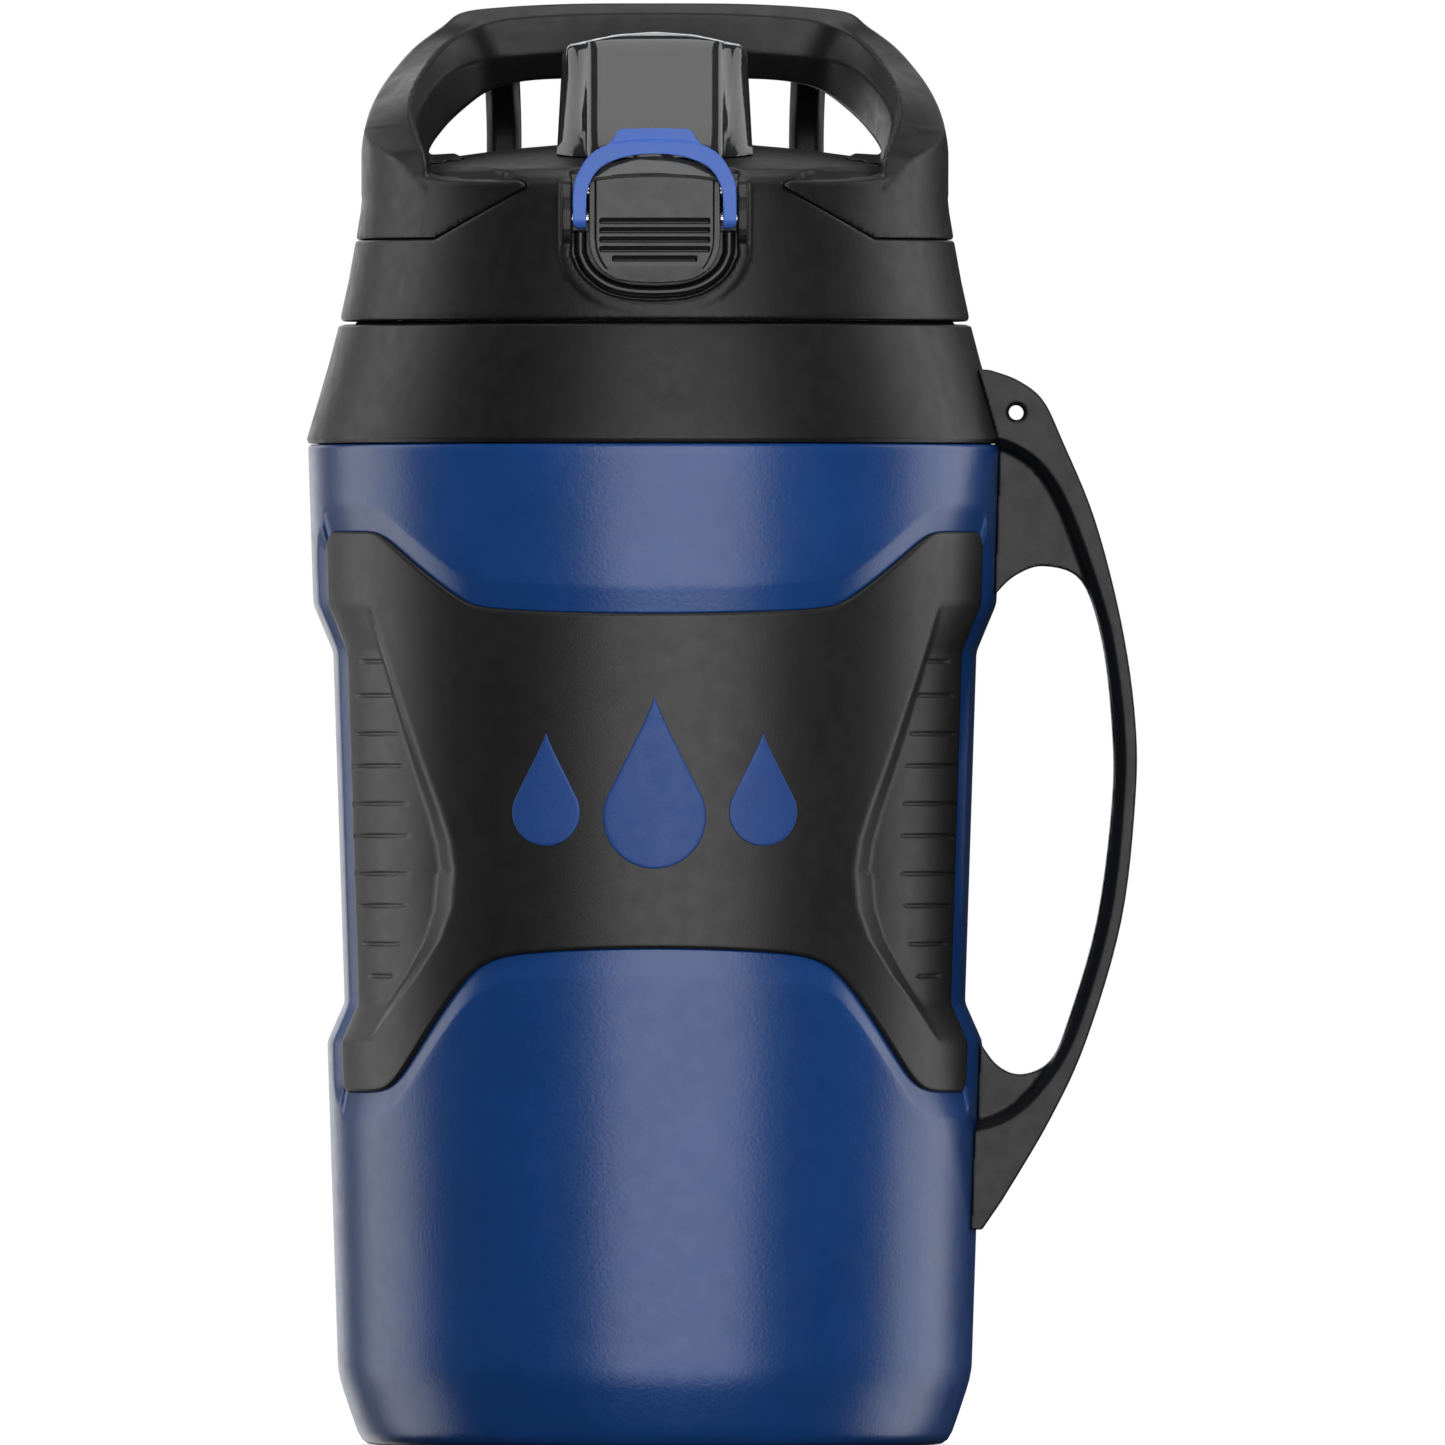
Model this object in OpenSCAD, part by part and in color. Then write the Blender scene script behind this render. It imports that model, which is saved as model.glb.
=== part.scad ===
// Large insulated water jug with a screw lid, a flip cover over the spout and a side handle.
// Millimetres, +Z up. The origin is on the body's axis, on the surface that the jug stands on.
// The latch is at the front (-Y) and the side handle is at +X.

/* [Body] */
// Height of the blue shell, up to the collar seam
shell_h = 222; // [220:0.5:223]
// Outer radius of the shell just above its base taper
shell_low_r = 70.4; // [70:0.1:71]
// Outer radius of the shell at its top
shell_top_r = 77; // [76.5:0.1:77.5]
// Wall thickness of the shell
shell_wall = 2.2; // [1.8:0.1:2.4]
// Half of the angle that a soft grip panel covers
panel_angle = 74.5; // [72:0.5:76]
// Thickness of a soft grip panel
panel_t = 2.2; // [1.8:0.1:2.4]

/* [Liner and neck] */
// Inner radius of the liner at its floor
liner_low_r = 51.5; // [48:0.5:52]
// Inner radius of the liner under the neck
liner_top_r = 54; // [53:0.5:54]
// Wall thickness of the liner
liner_wall = 2.2; // [1.8:0.1:2.6]
// Height of the rim that the gasket sits on
neck_top = 268; // [267.5:0.5:268]
// Rise of the screw thread in one turn
thread_lead = 8; // [8:0.5:9]

/* [Lid] */
// Height of the lid seam above the ground
lid_low = 249.3; // [249.3:0.1:249.8]
// Height of the middle of the lid's domed deck
deck_top = 289.3; // [289:0.1:289.6]
// Outer radius of the drinking spout
spout_r = 12; // [10:0.5:13]
// Height of the top of the carry handle
carry_top = 320.3; // [320:0.1:320.6]

/* [Side handle] */
// Width of the side handle
handle_w = 28; // [24:1:30]
// Radius of the lanyard hole
lanyard_r = 1.7; // [1.5:0.1:2]

/* [Hidden] */
$fn = 96;

base_taper_h = 18.6;          // height of the taper at the shell's foot
base_r = 59.5;                // radius of the hole that the base cap closes
base_flange_r = 61.5;         // radius of the base cap's flange, above the shell's floor
base_top = 6;                 // height of the flange's upper face
fill_hole_r = 14;             // hole through which the foam goes in
panel_sink = 0.4;             // how far a panel's face lies below the shell's face
panel_depth = panel_sink + panel_t;
scallop_low = 88.6;           // where the side scallops begin
scallop_high = 186.7;         // where the side scallops end
scallop_ramp = 12;            // height of the ramp at each end of a scallop
scallop_depth = 4;            // depth at the middle of a scallop
scallop_shift = 12.5;         // a scallop's surface turns about an axis this far past the middle
liner_floor = 16;             // height of the liner's floor
neck_low = 246;               // height at which the neck begins
neck_r = 57.2;                // outer radius of the neck
thread_r = 59;                // crest radius of the neck's thread
thread_turns = 1.25;
lid_bore_r = 59.3;            // bore of the lid liner, over the neck's thread
lid_core_r = 61.4;            // inner radius of the lid shell above the skirt
lobe_inner_r = 62.7;          // radius of the seat that the carry handle's lobes lie on
lobe_low = 267.3;             // height of the lobes' lower edge
gasket_t = 2;
lid_roof = neck_top + gasket_t;
spout_y = -22;                // spout's place on the lid
spout_top = 301;
vent_y = -42;                 // place of the air vent
hinge_z = 292.9;              // axis of the flip cover's hinge, on the plane y = 0
hinge_pin_r = 1.5;
recess_w = 18.6;              // half width of the latch recess
recess_low = 253.3;
bail_y = -64.6;               // axis of the lock bail
bail_z = 271.7;
bail_pin_r = 1;
button_y = -60.6;             // axis of the latch button
button_z = 277.6;
button_pin_r = 1;
running_gap = 0.05;           // radial clearance of a turning bore
part_gap = 0.3;               // clearance between parts that move past each other
lanyard_x = 80.2;
lanyard_z = 229.1;
strip_w = 18;                 // width of the ribbed strip on the side handle
strip_t = 1.6;                // depth of the groove that the strip lies in
screw_z = [212, 64];          // heights of the handle's screws
screw_r = 2;
screw_len = 5.8;
screw_start = 0.2;            // clearance between a screw's tip and the shell

// Radius of the shell's straight cone at height z.
function cone_r(z) =
    shell_low_r + (shell_top_r - shell_low_r) * (z - base_taper_h) / (shell_h - base_taper_h);

// Height of the lid's domed deck at radius r.
function dome_z(r) = deck_top - r * r / 590;

// One point of a smooth curve through points p, at step t of the stretch that starts at point i.
function on_curve(p, i, t) = let (
    a = p[max(i - 1, 0)], b = p[i], c = p[i + 1], d = p[min(i + 2, len(p) - 1)]
) 0.5 * (2 * b + (c - a) * t + (2 * a - 5 * b + 4 * c - d) * t * t
    + (3 * b - a - 3 * c + d) * t * t * t);

// A smooth curve through points p, with n steps between neighbours.
function curve(p, n = 4) = concat(
    [for (i = [0:len(p) - 2], k = [0:n - 1]) on_curve(p, i, k / n)], [p[len(p) - 1]]
);

// The points of p mirrored from +X to -X, in reverse order.
function mirrored(p) = [for (i = [len(p) - 1:-1:0]) [-p[i][0], p[i][1]]];

// The points of an arc about c.
function arc(c, r, from, to, n = 8) =
    [for (k = [0:n]) let (a = from + (to - from) * k / n) c + r * [cos(a), sin(a)]];

// Extrudes an outline drawn in X and Z, from y0 to y1.
module across_y(y0, y1) {
    translate([0, y1, 0]) rotate([90, 0, 0]) linear_extrude(y1 - y0) children();
}

// Extrudes an outline drawn in Y and Z, from x0 to x1.
module across_x(x0, x1) {
    translate([x0, 0, 0]) rotate([90, 0, 90]) linear_extrude(x1 - x0) children();
}

// A round bar along X, from x0 to x1.
module bar_x(r, x0, x1, y, z) {
    translate([x0, y, z]) rotate([0, 90, 0]) cylinder(r = r, h = x1 - x0);
}

module both_sides() {
    children();
    mirror([1, 0, 0]) children();
}

// A screw ridge on a wall of radius root_r. It starts at height z0 and angle a0.
module screw_ridge(root_r, crest_r, z0, a0, turns) {
    root_w = 2.6;
    crest_w = 1.4;
    steps = round(turns * 40);
    points = [
        for (i = [0:steps]) let (
            a = a0 + 360 * turns * i / steps, z = z0 + thread_lead * turns * i / steps
        ) each [
            [root_r * cos(a), root_r * sin(a), z - root_w / 2],
            [crest_r * cos(a), crest_r * sin(a), z - crest_w / 2],
            [crest_r * cos(a), crest_r * sin(a), z + crest_w / 2],
            [root_r * cos(a), root_r * sin(a), z + root_w / 2]
        ]
    ];
    sides = [
        for (i = [0:steps - 1], k = [0:3]) let (j = (k + 1) % 4)
            [4 * i + k, 4 * i + j, 4 * i + 4 + j, 4 * i + 4 + k]
    ];
    ends = [[3, 2, 1, 0], [4 * steps, 4 * steps + 1, 4 * steps + 2, 4 * steps + 3]];
    faces = concat(sides, ends);
    inward = crest_r < root_r;
    polyhedron(points, inward ? [for (f = faces) [f[3], f[2], f[1], f[0]]] : faces);
}

// The surface that a side scallop cuts the shell down to.
module scallop_barrel(inset) {
    low = scallop_low;
    high = scallop_high;
    edge = scallop_shift - inset;
    translate([-scallop_shift, 0, 0]) rotate_extrude() polygon([
        [0, low - 30],
        [cone_r(low - 30) + edge + 8, low - 30],
        [cone_r(low - 5) + edge + 2, low - 5],
        [cone_r(low) + edge, low],
        [cone_r(low + scallop_ramp) + edge - scallop_depth, low + scallop_ramp],
        [cone_r(high - scallop_ramp) + edge - scallop_depth, high - scallop_ramp],
        [cone_r(high) + edge, high],
        [cone_r(high + 5) + edge + 2, high + 5],
        [cone_r(high + 30) + edge + 8, high + 30],
        [0, high + 30]
    ]);
}

// The body's outer form with its side scallops, inset all over.
module body_form(inset) {
    module scallop_cut() {
        difference() {
            translate([30, -75, scallop_low - 8]) cube([60, 150, scallop_high - scallop_low + 16]);
            scallop_barrel(inset);
        }
    }
    difference() {
        rotate_extrude() polygon([
            [0, 0],
            [62 - inset, 0],
            [64.6 - inset, 0.6],
            [66.2 - inset, 3],
            [68.3 - inset, 9.5],
            [69.7 - inset, 14.2],
            [shell_low_r - inset, base_taper_h],
            [shell_top_r - inset, shell_h],
            [0, shell_h]
        ]);
        scallop_cut();
        mirror([1, 0, 0]) scallop_cut();
    }
}

// Half of a grip panel's outline, grown outwards by grow.
function panel_edge(grow) = concat(
    [[0, 184.5 + grow], [38.9, 185.8 + grow]],
    curve([[41, 186.4 + grow], [46, 190.2 + grow], [55, 197.6 + grow], [59.5, 201 + grow]]),
    [[64.4, 202.7 + grow], [84, 202.7 + grow], [84, 78.4 - grow], [64.4, 78.4 - grow]],
    curve([[60, 79.6 - grow], [56, 82.2 - grow], [49, 92.8 - grow], [41.5, 104.6 - grow]]),
    [[35.5, 108.4 - grow], [0, 110.3 - grow]]
);

// The space that a front grip panel fills, grown by grow.
module panel_space(grow) {
    edge = panel_edge(grow);
    reach = 120;
    spread = panel_angle + grow * 0.8;
    intersection() {
        across_y(-90, -2) polygon(concat(edge, mirrored(edge)));
        translate([0, 0, 60]) linear_extrude(160) polygon([
            [0, 0],
            [-reach * sin(spread), -reach * cos(spread)],
            [-reach, -reach],
            [reach, -reach],
            [reach * sin(spread), -reach * cos(spread)]
        ]);
    }
}

// The hollow inside the shell, which the foam fills.
module shell_hollow() {
    difference() {
        translate([0, 0, 3]) intersection() {
            translate([0, 0, -3]) body_form(shell_wall);
            cylinder(r = 100, h = shell_h);
        }
        difference() {
            union() {
                panel_space(shell_wall);
                rotate(180) panel_space(shell_wall);
            }
            body_form(shell_wall + panel_depth);
        }
    }
}

// Thin blue wall with the recesses for the panels.
module outer_shell() {
    color("royalblue") difference() {
        body_form(0);
        shell_hollow();
        translate([0, 0, -1]) cylinder(r = base_r, h = 10);
        difference() {
            union() {
                panel_space(0);
                rotate(180) panel_space(0);
            }
            body_form(panel_depth);
        }
    }
}

// A soft panel that lies in the shell's recess.
module grip_panel() {
    intersection() {
        difference() {
            body_form(panel_sink);
            body_form(panel_depth);
        }
        panel_space(0);
    }
}

// A water drop outline of height h, standing on its round end at [x, z].
module drop(x, z, h) {
    r = h * 0.3;
    translate([x, z]) polygon(concat(
        arc([0, r], r, -205, 25, 20), curve([[r * 0.78, r * 1.75], [r * 0.2, r * 2.85], [0, h]], 4),
        curve([[0, h], [-r * 0.2, r * 2.85], [-r * 0.78, r * 1.75]], 4)
    ));
}

module emblem_space() {
    across_y(-90, -50) {
        drop(0, 128, 38);
        drop(-24, 133, 25);
        drop(24, 133, 25);
    }
}

module grip_panel_front() {
    color([0.16, 0.17, 0.19]) difference() {
        grip_panel();
        difference() {
            emblem_space();
            body_form(panel_sink + 0.6);
        }
    }
}

module grip_panel_rear() {
    color([0.16, 0.17, 0.19]) rotate(180) grip_panel();
}

// Three water drops let into the front panel.
module front_emblem() {
    color("cornflowerblue") intersection() {
        difference() {
            body_form(panel_sink - 0.3);
            body_form(panel_sink + 0.6);
        }
        emblem_space();
    }
}

// The outer form of the liner, with the neck.
module liner_form() {
    rotate_extrude() polygon([
        [0, liner_floor],
        [liner_low_r + liner_wall - 6, liner_floor],
        [liner_low_r + liner_wall - 1.8, liner_floor + 1.8],
        [liner_low_r + liner_wall, liner_floor + 6],
        [liner_top_r + liner_wall, neck_low - 6],
        [neck_r, neck_low - 2],
        [neck_r, neck_top],
        [0, neck_top]
    ]);
}

// Foam between the shell, the collar and the liner.
module foam_core() {
    color("lightyellow") difference() {
        union() {
            shell_hollow();
            rotate_extrude() polygon([
                [0, shell_h], [71.8, shell_h], [67, neck_low], [0, neck_low]
            ]);
        }
        rotate_extrude() polygon([
            [73.2, shell_h - 8], [80, shell_h - 8], [80, shell_h + 1], [71.8, shell_h + 1],
            [71.8, shell_h]
        ]);
        liner_form();
        cylinder(r = base_flange_r, h = base_top);
        cylinder(r = fill_hole_r, h = 12);
    }
}

// Cup that holds the water, with the screw neck.
module inner_liner() {
    color("white") union() {
        difference() {
            liner_form();
            rotate_extrude() polygon([
                [0, liner_floor + liner_wall],
                [liner_low_r - 6, liner_floor + liner_wall],
                [liner_low_r - 1.8, liner_floor + liner_wall + 1.8],
                [liner_low_r, liner_floor + liner_wall + 6],
                [liner_top_r, neck_low - 6],
                [liner_top_r, neck_top + 1],
                [0, neck_top + 1]
            ]);
        }
        screw_ridge(neck_r - 0.3, thread_r, 254.5, 0, thread_turns);
    }
}

// Cap under the jug, with a shallow ring-shaped recess.
module base_cap() {
    color("royalblue") difference() {
        union() {
            translate([0, 0, 0.8]) cylinder(r = base_r, h = 2.2);
            translate([0, 0, 3]) cylinder(r = base_flange_r, h = base_top - 3);
        }
        translate([0, 0, -1]) cylinder(r = fill_hole_r, h = base_top + 2);
        translate([0, 0, -1]) difference() {
            cylinder(r = 52, h = 2.6);
            cylinder(r = 22, h = 3);
        }
    }
}

// Plug of the hole through which the foam goes in, with a slot for a coin.
module foam_fill_plug() {
    slot = [12, 2, 2.6];
    color("navy") difference() {
        translate([0, 0, 1.4]) cylinder(r = fill_hole_r, h = 10.6);
        translate([-slot[0] / 2, -slot[1] / 2, 0]) cube(slot);
    }
}

// The collar's outer edge, from its top down to the shell.
collar_edge = [[70.1, 248.4], [72.2, 240.6], [74.8, 231.8], [77.3, 222.9], [77, shell_h]];

// Ring between the shell and the neck. Its skirt stands inside the shell's upper edge.
module neck_collar() {
    skirt_low = shell_h - 8;
    color([0.13, 0.14, 0.15]) rotate_extrude() polygon(concat(
        [[cone_r(skirt_low) - shell_wall, skirt_low], [73.2, skirt_low], [71.8, shell_h]],
        [[67, neck_low], [neck_r, neck_low], [neck_r, 248.4], [69.2, 248.8]],
        collar_edge,
        [[shell_top_r - shell_wall, shell_h]]
    ));
}

// Side view of the handle's outer edge, from the collar down to its foot.
function handle_back() = concat(
    [[60, 238.7], [72.1, 238.7]],
    curve([
        [74.5, 238.5], [80.6, 236.2], [86.1, 231.8], [90.4, 222.9], [97.7, 205.1], [103.6, 182],
        [106.6, 160.7], [106.6, 143], [103.5, 116.3], [95.7, 89.7], [87.5, 71.9], [77, 54.2]
    ], 5),
    [[72.6, 47.8], [60, 47.8]]
);

// Outline of the hand gap.
function hand_gap() = concat(
    curve([
        [71, 182], [75.9, 189.1], [80.5, 193.2], [86.6, 195], [94.6, 191.8], [99.2, 178.5],
        [101.4, 160], [101.5, 143], [98.1, 116.3], [91.7, 94.1], [87.7, 85.2], [81.3, 82.2],
        [75.6, 84.6], [70.6, 92]
    ], 4),
    [[60, 92], [60, 182]]
);

// Everything that the side handle must stay outside of.
module handle_keep_out() {
    body_form(0);
    rotate_extrude() polygon(concat([[0, shell_h], [0, 248.4]], collar_edge));
}

// Slanted slot across the handle's foot, where the screw cover lies.
module screw_cover_space() {
    plate = [30, 16, 10.5];
    translate([82.9, 0, 66]) rotate([0, -60.5, 0]) translate([-plate[0] / 2, -plate[1] / 2, -8])
        cube(plate);
}

// The part of the handle's outer edge that the ribbed strip follows.
function strip_edge() = curve([
    [90.4, 222.9], [97.7, 205.1], [103.6, 182], [106.6, 160.7], [106.6, 143], [103.5, 116.3]
], 5);

// Everything outside the floor of the groove that the ribbed strip lies in.
module grip_strip_space() {
    floor_edge = [for (p = strip_edge()) p - [strip_t, strip_t * 0.2]];
    across_y(-strip_w / 2, strip_w / 2)
        polygon(concat([[98.4, 239.7]], floor_edge, [[120, 112], [120, 240]]));
}

module side_handle() {
    hole_start = 64;
    color([0.13, 0.14, 0.15]) difference() {
        across_y(-handle_w / 2, handle_w / 2) polygon(handle_back());
        across_y(-handle_w, handle_w) polygon(hand_gap());
        handle_keep_out();
        grip_strip_space();
        screw_cover_space();
        for (z = screw_z) translate([hole_start, 0, z]) rotate([0, 90, 0])
            cylinder(r = screw_r, h = cone_r(z) + screw_start + screw_len + 0.1 - hole_start);
        translate([lanyard_x, handle_w, lanyard_z]) rotate([90, 0, 0])
            cylinder(r = lanyard_r, h = 2 * handle_w);
    }
}

// Ribbed strip on the handle's outer face.
module side_handle_grip() {
    edge = strip_edge();
    color([0.2, 0.2, 0.21]) difference() {
        intersection() {
            across_y(-strip_w / 2, strip_w / 2) polygon(handle_back());
            grip_strip_space();
        }
        for (i = [1:len(edge) - 2]) translate([edge[i][0] + 0.4, -10, edge[i][1]])
            rotate([-90, 0, 0]) cylinder(r = 1.1, h = 20);
    }
}

// Cover over the lower screw.
module handle_screw_cover() {
    color([0.17, 0.18, 0.19]) intersection() {
        screw_cover_space();
        across_y(-20, 20) polygon(handle_back());
    }
}

// Two screws that hold the handle's feet to the shell, each with a six-sided socket.
module handle_screws() {
    socket_r = 1;
    socket_depth = 1.2;
    color("silver") for (z = screw_z) translate([cone_r(z) + screw_start, 0, z])
        rotate([0, 90, 0]) difference() {
            cylinder(r = screw_r, h = screw_len);
            translate([0, 0, screw_len - socket_depth]) cylinder(r = socket_r, h = 4, $fn = 6);
        }
}

// Ring that seals the lid on the neck's rim.
module lid_gasket() {
    color("gray") translate([0, 0, neck_top]) difference() {
        cylinder(r = neck_r, h = gasket_t);
        translate([0, 0, -1]) cylinder(r = liner_top_r + 0.6, h = gasket_t + 2);
    }
}

// The lid's outer form.
module lid_form() {
    rotate_extrude() polygon(concat(
        [[0, lid_low], [69.2, lid_low], [69.7, lid_low + 0.4], [66.4, lobe_low], [64.4, 278.4]],
        [[63.6, 280.4], [61.4, 282.2]],
        [for (r = [58:-8:2]) [r, dome_z(r)]],
        [[0, deck_top]]
    ));
}

// The lid's form under the carry handle's lobes.
module lobe_seat() {
    rotate_extrude() polygon(concat(
        [[0, lid_low], [lobe_inner_r, lid_low], [lobe_inner_r, 280], [60.5, 282.4]],
        [for (r = [58:-8:2]) [r, dome_z(r)]],
        [[0, deck_top]]
    ));
}

// Front view of the carry handle, right half: outer edge, then the edge of the finger gap.
function carry_outer() = concat(
    [[27.75, 279], [48.6, lobe_low], [67, lobe_low]],
    curve([
        [66.4, lobe_low + 0.1], [65, 276], [65, 285], [63.8, 294], [59.9, 302.8], [54.8, 309],
        [48.6, 314.4]
    ], 3),
    curve([[43.4, 318], [22, carry_top - 0.6], [0, carry_top]], 3)
);
function carry_inner() = concat(
    [[0, 303.7]],
    curve([[21.3, 303.7], [31.3, 302.8], [39.7, 299.7], [46.6, 293], [50.6, 286.4]], 3),
    [[44, 286.2], [30, 280.6]]
);

// Side view of the carry handle: wide at the lid, and narrow at the bar behind the cover.
module carry_side_view() {
    polygon(concat(
        curve([[-66, 266], [-60, 279], [-50, 285], [-28, 292], [0, 301], [16, 309], [23, 317]], 4),
        [[26.4, 321], [43.6, 321]],
        curve([[47.2, 317], [51, 309], [57, 296], [62, 284], [66, 266]], 4)
    ));
}

// Plan of the carry handle: the bar stands behind the cover, and the arms spread from it.
module carry_plan() {
    half = [[0, 24.5], [37, 24.5], [46, 8], [48, -10], [26, -70], [75, -70], [75, 70], [0, 70]];
    both_sides() linear_extrude(330) polygon(half);
}

// One prong of the fence hook: back from the bar, then down behind the lid.
module fence_prong() {
    translate([34, 50, 289]) rotate([90, 0, 90]) translate([0, 0, -3.9]) {
        rotate_extrude(angle = 90) translate([16.5, 0]) square([7, 7.8]);
        translate([16.5, -22, 0]) cube([7, 22, 7.8]);
        translate([20, -22, 0]) cylinder(r = 3.5, h = 7.8);
    }
    translate([30.1, 40, 305.5]) cube([7.8, 10, 7]);
}

// Loop that the jug is carried by, with its fence hooks.
module carry_handle() {
    half = concat(carry_outer(), carry_inner());
    color([0.13, 0.14, 0.15]) {
        intersection() {
            difference() {
                both_sides() across_y(-66, 66) polygon(half);
                lobe_seat();
            }
            rotate_extrude() polygon([
                [0, lobe_low], [66.4, lobe_low], [65.1, 276], [65.1, 330], [0, 330]
            ]);
            across_x(-70, 70) carry_side_view();
            carry_plan();
        }
        both_sides() fence_prong();
    }
}

// Space that the lobes fill in the lid shell.
module lobe_space() {
    half = [[27.75, 279], [48.6, lobe_low], [75, lobe_low], [75, 295], [44, 295], [30, 280.6]];
    difference() {
        both_sides() across_y(-75, 75) polygon(half);
        lobe_seat();
    }
}

// U-shaped outline of the latch recess, inset by inset.
module recess_outline(inset) {
    w = recess_w - inset;
    low = recess_low + inset;
    polygon(concat(arc([w - 9, low + 9], 9, 0, -90), arc([9 - w, low + 9], 9, -90, -180),
        [[-w, 295], [w, 295]]));
}

// Black outer wall and deck of the lid, with the lugs for the cover's pin and the bail's.
module lid_shell() {
    color([0.13, 0.14, 0.15]) {
        difference() {
            lid_form();
            rotate_extrude() polygon(concat(
                [[0, lid_low - 1], [67.2, lid_low - 1], [67.2, lid_low], [64.6, 263.4]],
                [[lid_core_r, 266], [lid_core_r, 279.4], [58, 281]],
                [for (r = [50:-10:0]) [r, dome_z(r) - 2.4]]
            ));
            lobe_space();
            across_y(-80, -57.5) recess_outline(0);
            translate([0, spout_y, 270]) cylinder(r = spout_r, h = 30);
            air_vent();
        }
        both_sides() hinge_lug();
        both_sides() bail_boss();
    }
}

// Small hole that lets air in while the jug pours.
module air_vent() {
    translate([0, vent_y, lid_roof - 1]) cylinder(r = 1.2, h = 30);
}

// Boss beside the recess that holds a bail pin.
module bail_boss() {
    difference() {
        across_x(recess_w, recess_w + 2) union() {
            translate([bail_y, bail_z]) circle(r = 2.2);
            translate([bail_y, bail_z - 2.2]) square([4, 4.4]);
        }
        bar_x(bail_pin_r, 10, recess_w + 1.6, bail_y, bail_z);
    }
}

// One of the two lugs that hold the cover's hinge pin.
module hinge_lug() {
    difference() {
        across_x(14, 18.4) union() {
            translate([0, hinge_z]) circle(r = 3.4);
            translate([-3.4, 286.6]) square([6.8, hinge_z - 286.6]);
        }
        bar_x(hinge_pin_r, 10, 17.6, 0, hinge_z);
    }
}

// Cap under the lid shell, with the lid's screw thread.
module lid_liner() {
    color("whitesmoke") union() {
        difference() {
            union() {
                translate([0, 0, lid_low + 1]) cylinder(r = 61.2, h = lid_roof - lid_low);
                translate([0, 0, lid_roof]) cylinder(r = lid_core_r, h = 2.4);
            }
            translate([0, 0, lid_low]) cylinder(r = lid_bore_r, h = lid_roof - lid_low);
            translate([0, spout_y, lid_low]) cylinder(r = spout_r, h = 40);
            air_vent();
        }
        screw_ridge(lid_bore_r + 0.3, 57.6, 251.5, 45, 1.1);
    }
}

// Foam between the lid shell and its liner.
module lid_foam() {
    color("lightyellow") difference() {
        rotate_extrude() polygon(concat(
            [[0, lid_roof + 2.4], [lid_core_r, lid_roof + 2.4], [lid_core_r, 279.4], [58, 281]],
            [for (r = [50:-10:0]) [r, dome_z(r) - 2.4]]
        ));
        translate([0, spout_y, 260]) cylinder(r = spout_r, h = 40);
        air_vent();
        translate([-30, -80, 260]) cube([60, 80 - 57.5, 40]);
    }
}

// Tube that the water is drunk from.
module spout() {
    color("whitesmoke") translate([0, spout_y, 0]) difference() {
        union() {
            translate([0, 0, lid_roof]) cylinder(r = spout_r, h = spout_top - lid_roof - 1);
            translate([0, 0, spout_top - 1]) cylinder(r1 = spout_r, r2 = spout_r - 0.8, h = 1);
        }
        translate([0, 0, lid_roof - 1]) cylinder(r = spout_r - 2.6, h = 60);
    }
}

// Tub let into the lid's recess, with the raised U-shaped rim round the button.
module latch_housing() {
    back = -57.5;
    shelf = lid_roof + 2.4;
    color([0.1, 0.1, 0.11]) difference() {
        union() {
            intersection() {
                union() {
                    across_y(-63.2, -61.6) recess_outline(0);
                    across_y(-64.6, -61.6) difference() {
                        recess_outline(1.15);
                        recess_outline(3.4);
                    }
                }
                translate([-30, -80, 250]) cube([60, 60, 268.8 - 250]);
            }
            translate([-recess_w, -62, 268.8]) cube([2 * recess_w, 0.4, shelf + 0.8 - 268.8]);
            translate([-recess_w, -62, shelf]) cube([2 * recess_w, 62 + back, 0.8]);
            translate([-recess_w, back - 0.8, shelf]) cube([2 * recess_w, 0.8, 8.2]);
            both_sides() translate([14.8, -62, shelf]) cube([recess_w - 14.8, 62 + back, 8]);
        }
        bar_x(button_pin_r, -18.3, 18.3, button_y, button_z);
    }
}

// Pin that the flip cover turns on.
module hinge_pin() {
    color("silver") bar_x(hinge_pin_r, -17.6, 17.6, 0, hinge_z);
}

// Torsion spring on the hinge pin.
module cover_spring() {
    color("silver") for (i = [0:4]) translate([(i - 2) * 1.1, 0, hinge_z]) rotate([0, 90, 0])
        rotate_extrude($fn = 48) translate([2.1, 0]) circle(r = 0.5, $fn = 16);
}

// Pin that the latch button rocks on.
module button_pin() {
    color("silver") bar_x(button_pin_r, -18.3, 18.3, button_y, button_z);
}

// Spring on the button's pin.
module button_spring() {
    color("silver") for (i = [0:3]) translate([(i - 1.5) * 1.0, button_y, button_z])
        rotate([0, 90, 0]) rotate_extrude($fn = 48) translate([1.5, 0]) circle(r = 0.45, $fn = 16);
}

// Two pins that carry the lock bail.
module bail_pins() {
    color("silver") both_sides() bar_x(bail_pin_r, 14.65, recess_w + 1.6, bail_y, bail_z);
}

// Side view of the flip cover, inset by t.
module cover_side_view(t) {
    polygon([
        [3.2 - t, 280], [3.2 - t, 293.4], [-1.5 - t, 302], [-8 - t, 309.6 - t],
        [-12 - t, 311.6 - t], [-26, 313.2 - t], [-31 + t, 312.6 - t], [-34.5 + t, 310 - t],
        [-52 + t, 288 - t], [-53.6 + t, 285.2], [-53.6 + t, 280]
    ]);
}

// Front view of the flip cover, inset by t.
module cover_front_view(t) {
    half = concat(
        curve([[0, 313.2 - t], [10, 312.5 - t], [19.4 - t, 310.4 - t]], 3),
        [[21 - t, 304.4], [21.3 - t, 296.6], [21.8 - t, 289], [21.8 - t, 280]]
    );
    polygon(concat(half, mirrored(half)));
}

// The flip cover's outer form, inset by t.
module cover_form(t) {
    intersection() {
        across_x(-30, 30) cover_side_view(t);
        across_y(-70, 20) cover_front_view(t);
    }
}

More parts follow.
